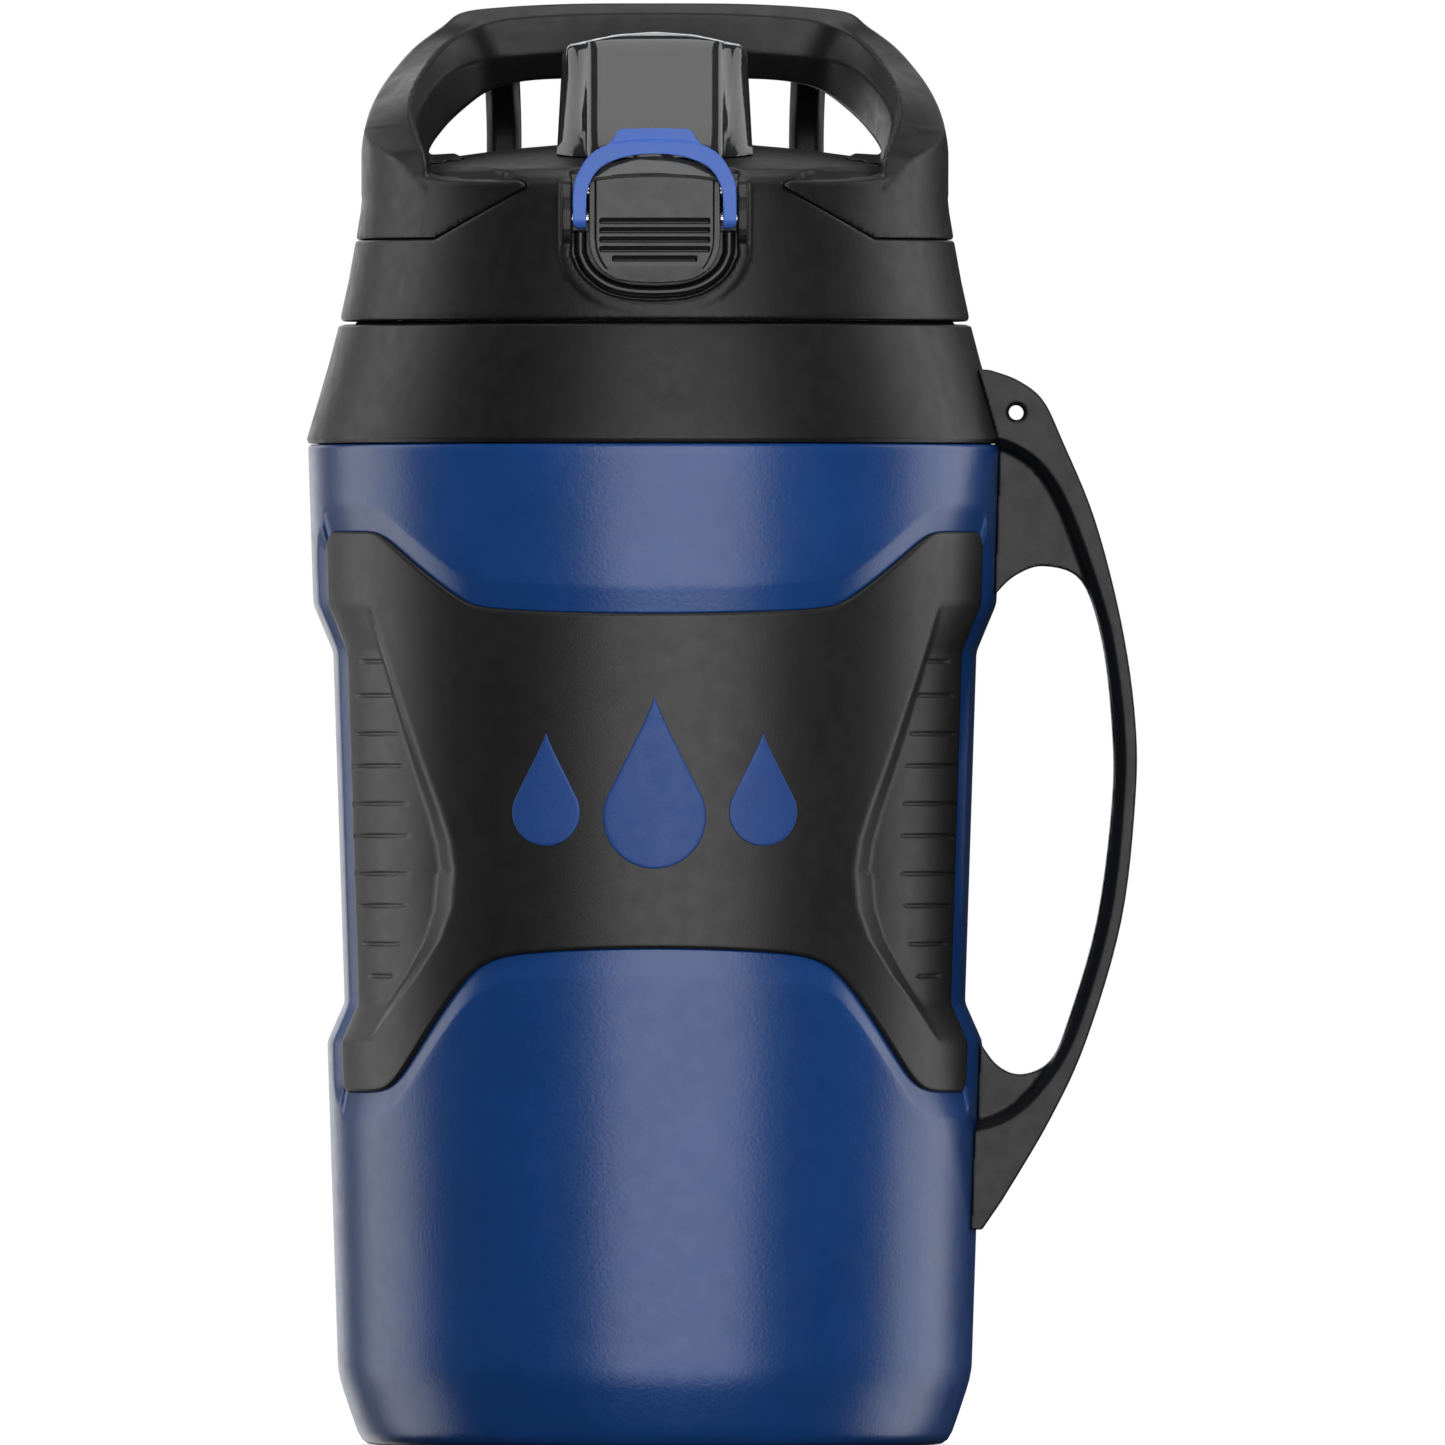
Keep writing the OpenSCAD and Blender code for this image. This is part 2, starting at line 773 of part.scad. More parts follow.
// Smoke-coloured cover over the spout, with its hinge knuckle and front lip.
module flip_cover() {
    wall = 1.8;
    lip = [[13.8, 281.9], [13.8, 284], [11, 285.2]];
    color([0.55, 0.58, 0.62, 0.6]) difference() {
        union() {
            difference() {
                cover_form(0);
                cover_form(wall);
                both_sides() translate([13.7, -4, 280]) cube([20, 20, 40]);
                translate([-30, 0, 280]) cube([60, 20, hinge_z - 280]);
            }
            bar_x(3.2, -13.7, 13.7, 0, hinge_z);
            across_y(-61.8, -52.4) polygon(concat(lip, mirrored(lip)));
            // Ring that holds the spout's seal, and post that holds the vent's
            intersection() {
                cover_form(0.5);
                union() {
                    translate([0, spout_y, 303.4]) difference() {
                        cylinder(r = spout_r + 2.6, h = 12);
                        translate([0, 0, -1]) cylinder(r = spout_r + 1.2, h = 14);
                    }
                    translate([0, vent_y, 290]) cylinder(r = 3.2, h = 12);
                }
            }
        }
        // Clear of the deck, which ends at the latch recess
        intersection() {
            rotate_extrude() polygon(concat(
                [[0, 270], [66, 270]],
                [for (r = [66:-6:1]) [r, dome_z(r) + part_gap]], [[0, deck_top + part_gap]]
            ));
            translate([-40, -57.8, 260]) cube([80, 120, 50]);
        }
        translate([0, vent_y, 280]) cylinder(r = 2, h = 13.9);
        bar_x(hinge_pin_r + running_gap, -20, 20, 0, hinge_z);
        // Room for the torsion spring
        bar_x(2.8, -3.2, 3.2, 0, hinge_z);
    }
}

// Pad in the cover that closes the spout.
module spout_seal() {
    color("gray") translate([0, spout_y, 0]) {
        translate([0, 0, spout_top]) cylinder(r = spout_r + 1.2, h = 3.2);
        translate([0, 0, spout_top + 3.2]) cylinder(r = 6, h = 5.3);
    }
}

// Small pad in the cover that closes the air vent.
module vent_seal() {
    color("gray") translate([0, vent_y, 286.7]) cylinder(r = 2, h = 293.9 - 286.7);
}

// Outline of the latch button's face.
module button_outline(inset) {
    w = 14.5 - inset;
    low = 257.4 + inset;
    r = 9 - inset;
    polygon(concat(arc([w - r, low + r], r, 0, -90), arc([r - w, low + r], r, -90, -180),
        [[-w, 280.6 - inset], [w, 280.6 - inset]]));
}

// Button that holds the cover's lip down.
module latch_button() {
    groove_w = 24.2;
    groove_h = 1.3;
    groove_pitch = 2.08;
    face_lean = 0.168;        // how far the face leans out for each millimetre down
    color([0.13, 0.14, 0.15]) difference() {
        union() {
            intersection() {
                across_y(-70, -60) button_outline(0);
                across_x(-15, 15) polygon([
                    [-68.4, 256], [-65.7, 256], [-64.2, 270], [-63.8, 273.4], [-61, 273.8],
                    [-61, 281], [-64.2, 281]
                ]);
            }
            both_sides() difference() {
                bar_x(2, 8, 13.5, button_y, button_z);
                translate([0, -70, 260]) cube([30, 7, 40]);
            }
        }
        for (i = [0:4]) let (z = 270.6 - groove_pitch * i)
            translate([-groove_w / 2, -64.2 - (281 - z) * face_lean - 0.5, z])
            cube([groove_w, 1.2, groove_h]);
        bar_x(button_pin_r + running_gap, -20, 20, button_y, button_z);
        // Room for the spring
        bar_x(2.2, -2.6, 2.6, button_y, button_z);
    }
}

// Inverted U that swings up over the front of the cover and locks it.
module lock_bail() {
    outer = concat([[18.1, 279.1]], arc([8.1, 279.1], 10, 0, 90), [[0, 289.1]]);
    inner = concat([[0, 286.2]], arc([8.1, 279.2], 7, 90, 0), [[15.1, 279.2]]);
    half = concat(outer, inner, [[15.1, 269.2], [17, 269.2], [18.1, 270.4]]);
    tab = [[7.8, 291.7], [9.9, 288.4], [9.9, 287.4]];
    color("cornflowerblue") difference() {
        intersection() {
            union() {
                both_sides() across_y(-70, -55) polygon(half);
                across_y(-70, -55) polygon(concat(tab, mirrored(tab)));
            }
            across_x(-20, 20) polygon(concat(
                arc([bail_y, bail_z], 2.3, 180, 360), [[-62.9, 286.2], [-62.9, 291.7]],
                [[-64.3, 291.7], [-65.4, 288]]
            ));
        }
        bar_x(bail_pin_r + running_gap, -20, 20, bail_y, bail_z);
    }
}

outer_shell();
grip_panel_front();
grip_panel_rear();
front_emblem();
foam_core();
inner_liner();
base_cap();
foam_fill_plug();
neck_collar();
side_handle();
side_handle_grip();
handle_screw_cover();
handle_screws();
lid_gasket();
lid_shell();
lid_liner();
lid_foam();
carry_handle();
spout();
latch_housing();
hinge_pin();
cover_spring();
button_pin();
button_spring();
bail_pins();
flip_cover();
spout_seal();
vent_seal();
latch_button();
lock_bail();
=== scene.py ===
import math

import bmesh
import bpy
import numpy as np
from mathutils import Matrix, Vector

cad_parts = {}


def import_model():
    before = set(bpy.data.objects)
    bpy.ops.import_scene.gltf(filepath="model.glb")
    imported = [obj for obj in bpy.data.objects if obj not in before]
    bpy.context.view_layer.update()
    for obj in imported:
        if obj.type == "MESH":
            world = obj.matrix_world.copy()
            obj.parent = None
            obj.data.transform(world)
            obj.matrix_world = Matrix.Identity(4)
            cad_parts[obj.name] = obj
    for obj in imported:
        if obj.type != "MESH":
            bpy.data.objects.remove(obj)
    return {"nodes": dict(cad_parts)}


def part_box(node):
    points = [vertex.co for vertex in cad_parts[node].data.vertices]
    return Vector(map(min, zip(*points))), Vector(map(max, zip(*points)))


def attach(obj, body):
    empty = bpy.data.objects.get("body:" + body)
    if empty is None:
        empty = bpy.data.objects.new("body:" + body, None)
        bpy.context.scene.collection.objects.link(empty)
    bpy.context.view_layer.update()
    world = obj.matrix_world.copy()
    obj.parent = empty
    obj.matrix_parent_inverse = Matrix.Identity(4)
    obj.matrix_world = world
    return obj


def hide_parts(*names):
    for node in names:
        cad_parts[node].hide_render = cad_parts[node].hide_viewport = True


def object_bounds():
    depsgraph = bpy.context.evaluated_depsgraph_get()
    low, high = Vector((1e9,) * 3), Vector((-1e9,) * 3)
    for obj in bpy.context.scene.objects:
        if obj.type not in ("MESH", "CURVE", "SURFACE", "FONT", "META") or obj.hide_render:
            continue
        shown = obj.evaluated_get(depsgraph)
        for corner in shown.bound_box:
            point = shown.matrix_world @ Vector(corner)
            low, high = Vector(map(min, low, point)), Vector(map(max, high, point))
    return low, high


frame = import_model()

# A large insulated water jug. Lengths are in millimetres until a mesh is made, then in metres.
# Angles round the jug are measured from the front (-Y) towards +X, in degrees.

CAD_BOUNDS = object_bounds()
MM = 0.001


def box_mm(node):
    low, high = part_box(node)
    return [v / MM for v in low], [v / MM for v in high]


SHELL_HIGH = box_mm("outer_shell")[1]
COLLAR_HIGH = box_mm("neck_collar")[1]

SHELL_H = SHELL_HIGH[2]
SHELL_TOP_R = SHELL_HIGH[1]
SHELL_LOW_R = SHELL_TOP_R - 6.6
TAPER_H = 18.6
PANEL_EDGE = 74.5       # angle of a grip panel's side edges
PANEL_DEPTH = 2.6       # depth of the recess that a panel lies in
PANEL_SINK = 0.4        # how far a panel's face lies below the shell's
DECK_TOP = 289.3        # height of the middle of the lid's deck
LOBE_LOW = 267.3        # height of the carry handle's lower edge
HINGE_Z = 292.9
BAIL_Y, BAIL_Z = -64.6, 271.7
BUTTON_Y, BUTTON_Z = -60.6, 277.6


# ---------------------------------------------------------------- mesh tools

def spline(points, steps=6):
    """A smooth curve through points, with steps between neighbours."""
    p = [np.array(q, float) for q in points]
    out = []
    for i in range(len(p) - 1):
        a, b, c, d = p[max(i - 1, 0)], p[i], p[i + 1], p[min(i + 2, len(p) - 1)]
        for k in range(steps):
            t = k / steps
            out.append(0.5 * (2 * b + (c - a) * t + (2 * a - 5 * b + 4 * c - d) * t * t
                              + (3 * b - a - 3 * c + d) * t ** 3))
    out.append(p[-1])
    return [tuple(q) for q in out]


def arc(centre, r, start, end, steps=8):
    angles = [math.radians(start + (end - start) * k / steps) for k in range(steps + 1)]
    return [(centre[0] + r * math.cos(a), centre[1] + r * math.sin(a)) for a in angles]


def mirrored(points):
    return [(-x, z) for x, z in reversed(points)]


def smooth(t):
    t = np.clip(t, 0, 1)
    return t * t * (3 - 2 * t)


def make_object(name, vertices, faces, shade=True):
    mesh = bpy.data.meshes.new(name)
    mesh.from_pydata([tuple(c * MM for c in v) for v in vertices], [], faces)
    mesh.validate()
    bm = bmesh.new()
    bm.from_mesh(mesh)
    bmesh.ops.recalc_face_normals(bm, faces=bm.faces)
    bm.to_mesh(mesh)
    bm.free()
    if shade:
        mesh.shade_smooth()
    ob = bpy.data.objects.new(name, mesh)
    bpy.context.scene.collection.objects.link(ob)
    return ob


def grid_faces(rows, cols, wrap_cols, wrap_rows=False, start=0):
    faces = []
    for i in range(rows if wrap_rows else rows - 1):
        for j in range(cols if wrap_cols else cols - 1):
            a, b = i * cols + j, i * cols + (j + 1) % cols
            k = (i + 1) % rows
            faces.append((start + a, start + b, start + k * cols + (j + 1) % cols,
                          start + k * cols + j))
    return faces


def lathe(name, profile, segments=192, centre=(0, 0)):
    """Turns a closed profile of (radius, height) about a vertical axis through centre."""
    vertices = []
    for r, z in profile:
        for j in range(segments):
            a = 2 * math.pi * j / segments
            vertices.append((centre[0] + r * math.cos(a), centre[1] + r * math.sin(a), z))
    return make_object(name, vertices, grid_faces(len(profile), segments, True, True))


def inset_line(points, d):
    """An open line moved d to its left."""
    out = []
    for i in range(len(points)):
        a, b = np.array(points[max(i - 1, 0)]), np.array(points[min(i + 1, len(points) - 1)])
        t = (b - a) / np.linalg.norm(b - a)
        out.append((points[i][0] - t[1] * d, points[i][1] + t[0] * d))
    return out


def rounded(profile, radius, steps=4):
    """A closed outline with each corner rounded, by radius or by its own (x, z, radius)."""
    out = []
    n = len(profile)
    for i in range(n):
        here = np.array(profile[i][:2], float)
        r = profile[i][2] if len(profile[i]) > 2 else radius
        before = np.array(profile[i - 1][:2], float) - here
        after = np.array(profile[(i + 1) % n][:2], float) - here
        la, lb = np.linalg.norm(before), np.linalg.norm(after)
        if r <= 0 or la < 1e-6 or lb < 1e-6:
            out.append(tuple(here))
            continue
        u, v = before / la, after / lb
        half = math.acos(max(-1, min(1, float(u @ v)))) / 2
        if half > math.radians(86):
            out.append(tuple(here))
            continue
        cut = min(r / math.tan(half), 0.48 * la, 0.48 * lb)
        p0, p1 = here + u * cut, here + v * cut
        for k in range(steps + 1):
            t = k / steps
            out.append(tuple((1 - t) ** 2 * p0 + 2 * t * (1 - t) * here + t * t * p1))
    return out


def prism(name, outline, axis, low, high):
    """A closed outline extruded along "x" (outline in Y, Z), "y" (X, Z) or "z" (X, Y)."""
    place = {"x": lambda a, b, c: (c, a, b), "y": lambda a, b, c: (a, c, b),
             "z": lambda a, b, c: (a, b, c)}[axis]
    n = len(outline)
    vertices = [place(a, b, low) for a, b in outline] + [place(a, b, high) for a, b in outline]
    faces = [tuple(range(n)), tuple(range(2 * n - 1, n - 1, -1))]
    faces += [(i, (i + 1) % n, n + (i + 1) % n, n + i) for i in range(n)]
    return make_object(name, vertices, faces, shade=False)


def settle(ob):
    """Applies an object's modifiers to its mesh."""
    bpy.context.view_layer.update()
    graph = bpy.context.evaluated_depsgraph_get()
    mesh = bpy.data.meshes.new_from_object(ob.evaluated_get(graph))
    old = ob.data
    ob.modifiers.clear()
    ob.data = mesh
    bpy.data.meshes.remove(old)
    return ob


def cut(ob, operation, *others):
    """Joins, cuts or intersects ob with others, which are used up."""
    for other in others:
        mod = ob.modifiers.new(operation, "BOOLEAN")
        mod.operation = operation
        mod.solver = "EXACT"
        mod.object = other
        settle(ob)
        bpy.data.objects.remove(other)
    return ob


def mould(ob, voxel, passes=3, keep=1.0):
    """Remeshes a solid so that its edges come out softly rounded, as moulded plastic has them."""
    mod = ob.modifiers.new("remesh", "REMESH")
    mod.mode = "VOXEL"
    mod.voxel_size = voxel * MM
    mod.use_smooth_shade = True
    mod = ob.modifiers.new("smooth", "SMOOTH")
    mod.factor = 0.5
    mod.iterations = passes
    if keep < 1:
        mod = ob.modifiers.new("decimate", "DECIMATE")
        mod.ratio = keep
    settle(ob)
    ob.data.shade_smooth()
    return ob


def sweep(name, path, section, frames, closed=False):
    """Sweeps a closed section of (u, v) along path; frames gives the u and v directions."""
    vertices = []
    for point, (u, v) in zip(path, frames):
        for a, b in section:
            vertices.append(tuple(np.array(point) + a * np.array(u) + b * np.array(v)))
    n, m = len(path), len(section)
    faces = grid_faces(n, m, True, closed)
    if not closed:
        faces += [tuple(range(m)), tuple(range((n - 1) * m, n * m))]
    return make_object(name, vertices, faces)


def finish_piece(ob, material, body, slot, *nodes):
    ob.data.materials.clear()
    ob.data.materials.append(material)
    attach(ob, body)
    if nodes:
        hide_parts(*nodes)
    return ob


# ---------------------------------------------------------------- materials

def new_material(name, color, roughness):
    mat = bpy.data.materials.new(name)
    mat.use_nodes = True
    shader = mat.node_tree.nodes["Principled BSDF"]
    shader.inputs["Base Color"].default_value = (*color, 1)
    shader.inputs["Roughness"].default_value = roughness
    return mat, shader


def noise(mat, scale, detail=2.0, rough=0.5):
    nodes, links = mat.node_tree.nodes, mat.node_tree.links
    where = nodes.new("ShaderNodeTexCoord")
    tex = nodes.new("ShaderNodeTexNoise")
    tex.inputs["Scale"].default_value = scale
    tex.inputs["Detail"].default_value = detail
    tex.inputs["Roughness"].default_value = rough
    links.new(where.outputs["Object"], tex.inputs["Vector"])
    return tex.outputs["Fac"]


def spread(mat, value, low, high):
    """Maps a pattern from 0.3..0.7 to low..high."""
    node = mat.node_tree.nodes.new("ShaderNodeMapRange")
    node.inputs["From Min"].default_value = 0.3
    node.inputs["From Max"].default_value = 0.7
    node.inputs["To Min"].default_value = low
    node.inputs["To Max"].default_value = high
    mat.node_tree.links.new(value, node.inputs["Value"])
    return node.outputs["Result"]


def two_tone(mat, value, a, b):
    node = mat.node_tree.nodes.new("ShaderNodeMix")
    node.data_type = "RGBA"
    node.inputs["A"].default_value = (*a, 1)
    node.inputs["B"].default_value = (*b, 1)
    mat.node_tree.links.new(value, node.inputs["Factor"])
    return node.outputs["Result"]


def bump(mat, shader, *layers):
    """Adds bump layers of (height pattern, depth in mm)."""
    normal = None
    for height, depth in layers:
        node = mat.node_tree.nodes.new("ShaderNodeBump")
        node.inputs["Distance"].default_value = depth * MM
        mat.node_tree.links.new(height, node.inputs["Height"])
        if normal:
            mat.node_tree.links.new(normal, node.inputs["Normal"])
        normal = node.outputs["Normal"]
    mat.node_tree.links.new(normal, shader.inputs["Normal"])


def moulded(name, color, roughness, grain_scale, grain_depth, vary=0.06, tone=0.08, specular=0.5):
    """Moulded plastic: a fine grain, a slow waviness and slightly uneven colour and gloss."""
    mat, shader = new_material(name, color, roughness)
    links = mat.node_tree.links
    slow = noise(mat, 45, 3)
    grain = noise(mat, grain_scale, 2, 0.6)
    darker = tuple(c * (1 - tone) for c in color)
    lighter = tuple(c * (1 + tone) for c in color)
    links.new(two_tone(mat, spread(mat, slow, 0, 1), darker, lighter), shader.inputs["Base Color"])
    links.new(spread(mat, noise(mat, 260, 4), roughness - vary, roughness + vary),
              shader.inputs["Roughness"])
    bump(mat, shader, (grain, grain_depth), (noise(mat, 60, 1), 0.03))
    shader.inputs["Specular IOR Level"].default_value = specular
    return mat


BLUE = moulded("blue_shell", (0.0070, 0.0500, 0.205), 0.31, 1100, 0.045, 0.03)
SOFT = moulded("soft_grip", (0.0125, 0.0125, 0.013), 0.41, 2400, 0.03, 0.04, specular=0.38)
BLACK = moulded("black_plastic", (0.0080, 0.0080, 0.0085), 0.41, 2000, 0.025, 0.05, specular=0.28)
BUTTON = moulded("button_black", (0.0085, 0.0085, 0.009), 0.34, 2200, 0.02, 0.05, specular=0.45)
BAIL_BLUE = moulded("bail_blue", (0.045, 0.125, 0.480), 0.38, 1200, 0.02, 0.04, specular=0.3)
EMBLEM = moulded("emblem_blue", (0.0170, 0.0620, 0.245), 0.45, 2400, 0.06, 0.05, specular=0.3)
WHITE = moulded("white_liner", (0.78, 0.79, 0.80), 0.32, 900, 0.02, 0.05, 0.03)
FOAM = moulded("foam", (0.80, 0.74, 0.52), 0.80, 1400, 0.30, 0.08, 0.06)
SILICONE = moulded("silicone", (0.42, 0.44, 0.46), 0.48, 700, 0.02, 0.05, 0.05)
SILICONE.node_tree.nodes["Principled BSDF"].inputs["Subsurface Weight"].default_value = 0.15
STEEL = moulded("steel", (0.55, 0.56, 0.58), 0.30, 1800, 0.02, 0.08, 0.05)
STEEL.node_tree.nodes["Principled BSDF"].inputs["Metallic"].default_value = 1.0


def smoke_plastic(name, color, transmission, rough):
    mat, shader = new_material(name, color, rough)
    shader.inputs["Transmission Weight"].default_value = transmission
    shader.inputs["IOR"].default_value = 1.5
    links = mat.node_tree.links
    links.new(spread(mat, noise(mat, 300, 4), rough - 0.03, rough + 0.05), shader.inputs["Roughness"])
    bump(mat, shader, (noise(mat, 90, 1), 0.02))
    return mat


SMOKE = smoke_plastic("smoke_cover", (0.030, 0.031, 0.034), 0.35, 0.10)
# A pale clear material for the bead on the cover's top edge: a painted highlight.
PAINTED_HIGHLIGHT_RIM = smoke_plastic("clear_rim_painted_highlight", (0.85, 0.86, 0.88), 0.25, 0.12)


# ---------------------------------------------------------------- the body's form

def cone_r(z):
    return SHELL_LOW_R + (SHELL_TOP_R - SHELL_LOW_R) * (z - TAPER_H) / (SHELL_H - TAPER_H)


SCALLOP_DEPTH = 4.1
# How far a side scallop reaches to each side of +X or -X, in degrees, by height.
SCALLOP_EDGE = [(80, 22.0), (88.8, 28.6), (96, 36.0), (104.3, 43.7), (112, 49.2), (119, 52.0),
                (127, 52.9), (134, 52.0), (141, 49.9), (149.2, 46.9), (164.7, 41.4), (182.8, 34.6),
                (195, 30.0)]
SCALLOP_TOP = 186.9
SCALLOP_LOW = 89.3


def side_angle(phi):
    """Angle from the nearer of +X and -X."""
    return np.abs(np.abs((phi + 180) % 360 - 180) - 90)


def soft_min(values, k):
    return -k * np.log(sum(np.exp(-v / k) for v in values))


def scallop(phi, z):
    """Depth of the side scallops: ramps on all sides lead down to a floor."""
    edge = np.interp(z, [p[0] for p in SCALLOP_EDGE], [p[1] for p in SCALLOP_EDGE])
    slant = np.where(z > 127, 0.925, 0.80)
    side = (edge - side_angle(phi)) * math.pi / 180 * SCALLOP_ARM * slant / 8.0
    t = soft_min([side, (SCALLOP_TOP - z) / 12.7, (z - SCALLOP_LOW) / 10.3], 0.07) + 0.06
    t = np.clip(t, 0, 1)
    ease = 0.16
    ramp = np.where(t < ease, t * t / (2 * ease), np.where(
        t > 1 - ease, 1 - ease - (1 - t) ** 2 / (2 * ease), t - ease / 2))
    return SCALLOP_DEPTH * ramp / (1 - ease)


SCALLOP_ARM = 74         # radius at which angles are turned into lengths


def form_r(phi, z):
    """Radius of the body's face, with its scallops."""
    return cone_r(z) - scallop(phi, z)


def soft_ramp(x, start, end, width):
    def bend(v):
        return width * np.logaddexp(0, v / width)
    return bend(x - start) - bend(x - end)


CORNER = 5.0            # corner radius of a panel


def side_distance(phi):
    """Distance in mm from a point inside a panel to its side edge."""
    return (PANEL_EDGE - np.abs(phi)) * math.pi / 180 * SCALLOP_ARM


def corner_drop(phi, r):
    d = np.clip(side_distance(phi), 0, r)
    return r - np.sqrt(np.maximum(r * r - (r - d) ** 2, 0))


def panel_top(phi):
    """Height of a panel's upper edge at an angle from the panel's middle."""
    a = np.minimum(np.abs(phi), PANEL_EDGE)
    z = 184.5 + 1.2 * (np.minimum(a, 31) / 31) ** 2 + 0.80 * soft_ramp(a, 32.8, 53.9, 1.5)
    return z - corner_drop(np.minimum(np.abs(phi), PANEL_EDGE), CORNER)


def panel_low(phi):
    a = np.minimum(np.abs(phi), PANEL_EDGE)
    z = 110.3 - 2.0 * (np.minimum(a, 31) / 31) ** 2 - 1.378 * soft_ramp(a, 32.3, 54.0, 2.2)
    return z + corner_drop(np.minimum(np.abs(phi), PANEL_EDGE), 3.0)


def polar(phi, r, z):
    a = np.radians(phi)
    return np.stack([r * np.sin(a), -r * np.cos(a), z + 0 * a], -1)


BEVEL_W, BEVEL_DEPTH = 6.0, 1.35
WALL = 3.3              # from the body's form to the shell's inner face
TAPER = [(62.0, 0.0), (63.7, 0.25), (65.0, 1.1), (66.0, 2.8), (66.9, 5.3), (67.7, 7.6),
         (68.45, 9.9), (69.15, 12.1), (69.8, 14.3), (70.2, 16.4)]


def columns():
    """Angles of the shell's columns over one panel's half turn, -90 to 90, finer at the edges."""
    beyond = BEVEL_W / 75.5 * 180 / math.pi
    edge = PANEL_EDGE
    steps = list(np.linspace(0, 30, 13)) + list(np.linspace(31, 56, 26)) + list(np.linspace(58, 70, 7))
    steps += [71, 72, 73, 73.8, edge - 0.02, edge + 0.02, edge + 0.5]
    steps += list(np.linspace(edge + 1.2, edge + beyond - 0.25, 6))
    steps += [edge + beyond + 0.2, 81.5, 84, 87]
    right = np.array(steps)
    return np.concatenate([[-90.0], -right[:0:-1], right])


def outer_shell():
    half = columns()
    phis = np.concatenate([half, half + 180])
    rel = np.concatenate([half, half])
    top, low = panel_top(rel), panel_low(rel)
    offs = [0.0, 0.35, 1.2, 2.4, 3.6, 4.8, BEVEL_W - 0.25, BEVEL_W + 0.25]
    heights, inside = [], []

    def row(z, within=False):
        heights.append(z + 0 * rel)
        inside.append(within)

    for t in np.linspace(0, 1, 30):
        row(17.6 + (low - offs[-1] - 17.6) * t)
    for d in reversed(offs[:-1]):
        row(low - d)
    for t in np.linspace(0.0004, 0.9996, 110):
        row(low + (top - low) * t, True)
    for d in offs:
        row(top + d)
    for t in np.linspace(0.06, 1, 16):
        row(top + offs[-1] + (SHELL_H - 0.8 - top - offs[-1]) * t)

    rows = [polar(phis, np.full_like(phis, r), np.full_like(phis, z)) for r, z in TAPER]
    for z, within in zip(heights, inside):
        r = form_r(phis, z)
        aside = np.maximum(-side_distance(rel), 0)
        above = np.maximum(np.maximum(z - top, low - z), 0)
        dist = np.hypot(aside, above)
        r = r - BEVEL_DEPTH * np.clip(1 - dist / BEVEL_W, 0, 1)
        if within:
            r = np.where(np.abs(rel) < PANEL_EDGE, form_r(phis, z) - PANEL_DEPTH, r)
        rows.append(polar(phis, r, z))
    lip = [(SHELL_TOP_R - 0.25, SHELL_H - 0.3), (SHELL_TOP_R - 0.7, SHELL_H),
           (SHELL_TOP_R - 2.1, SHELL_H), (SHELL_TOP_R - 3.2, SHELL_H - 9)]
    rows += [polar(phis, np.full_like(phis, r), np.full_like(phis, z)) for r, z in lip]
    for z in np.linspace(SHELL_H - 12, 20, 56):
        rows.append(polar(phis, form_r(phis, z) - WALL, z + 0 * phis))
    foot = [(66.5, 14), (63.2, 5), (59.6, 5), (59.6, 0.25), (60, 0)]
    rows += [polar(phis, np.full_like(phis, r), np.full_like(phis, z)) for r, z in foot]
    points = np.concatenate(rows)
    ob = make_object("jug_shell", points, grid_faces(len(rows), len(phis), True, True))
    return finish_piece(ob, BLUE, "jug", "blue_shell", "outer_shell")


def foam_core():
    """Foam between the shell and the liner."""
    phis = np.linspace(0, 360, 145)[:-1]
    rows = []
    for z in np.linspace(212, 20, 44):
        rows.append(polar(phis, form_r(phis, z) - WALL - 0.1, z + 0 * phis))
    bare = [(65.6, 14), (62.8, 7), (62.2, 6.2), (14.2, 6.2), (14.2, 12.2), (0.5, 12.2), (0.5, 15.8),
            (47.5, 15.8), (51.8, 17.8), (53.9, 22.2), (56.3, 239.9), (57.3, 243.9), (57.3, 245.8),
            (66.8, 245.8), (71.6, 222), (73.0, 214)]
    rows += [polar(phis, np.full_like(phis, r), np.full_like(phis, z)) for r, z in bare]
    ob = make_object("foam_fill", np.concatenate(rows), grid_faces(len(rows), len(phis), True, True))
    return finish_piece(ob, FOAM, "jug", "foam", "foam_core")


# Heights of the finger grooves, and half the angle that each spans.
GROOVES = [(173.8, 5.0), (166.3, 7.6), (157.8, 9.4), (150.7, 10.6), (142.3, 11.2), (135.2, 11.5),
           (126.8, 11.2), (119.7, 10.0), (111.2, 8.0), (104.1, 5.0)]
GROOVE_MID = 62.5       # angle of the grooves' middle from a panel's middle


def groove_depth(phi, z):
    total = 0 * z
    for height, half in GROOVES:
        across = np.clip(1 - np.abs(z - height) / 0.62, 0, 1)
        along = np.clip((half - np.abs(np.abs(phi) - GROOVE_MID)) / 1.6, 0, 1)
        total = total + 0.7 * smooth(across) * smooth(along)
    return total


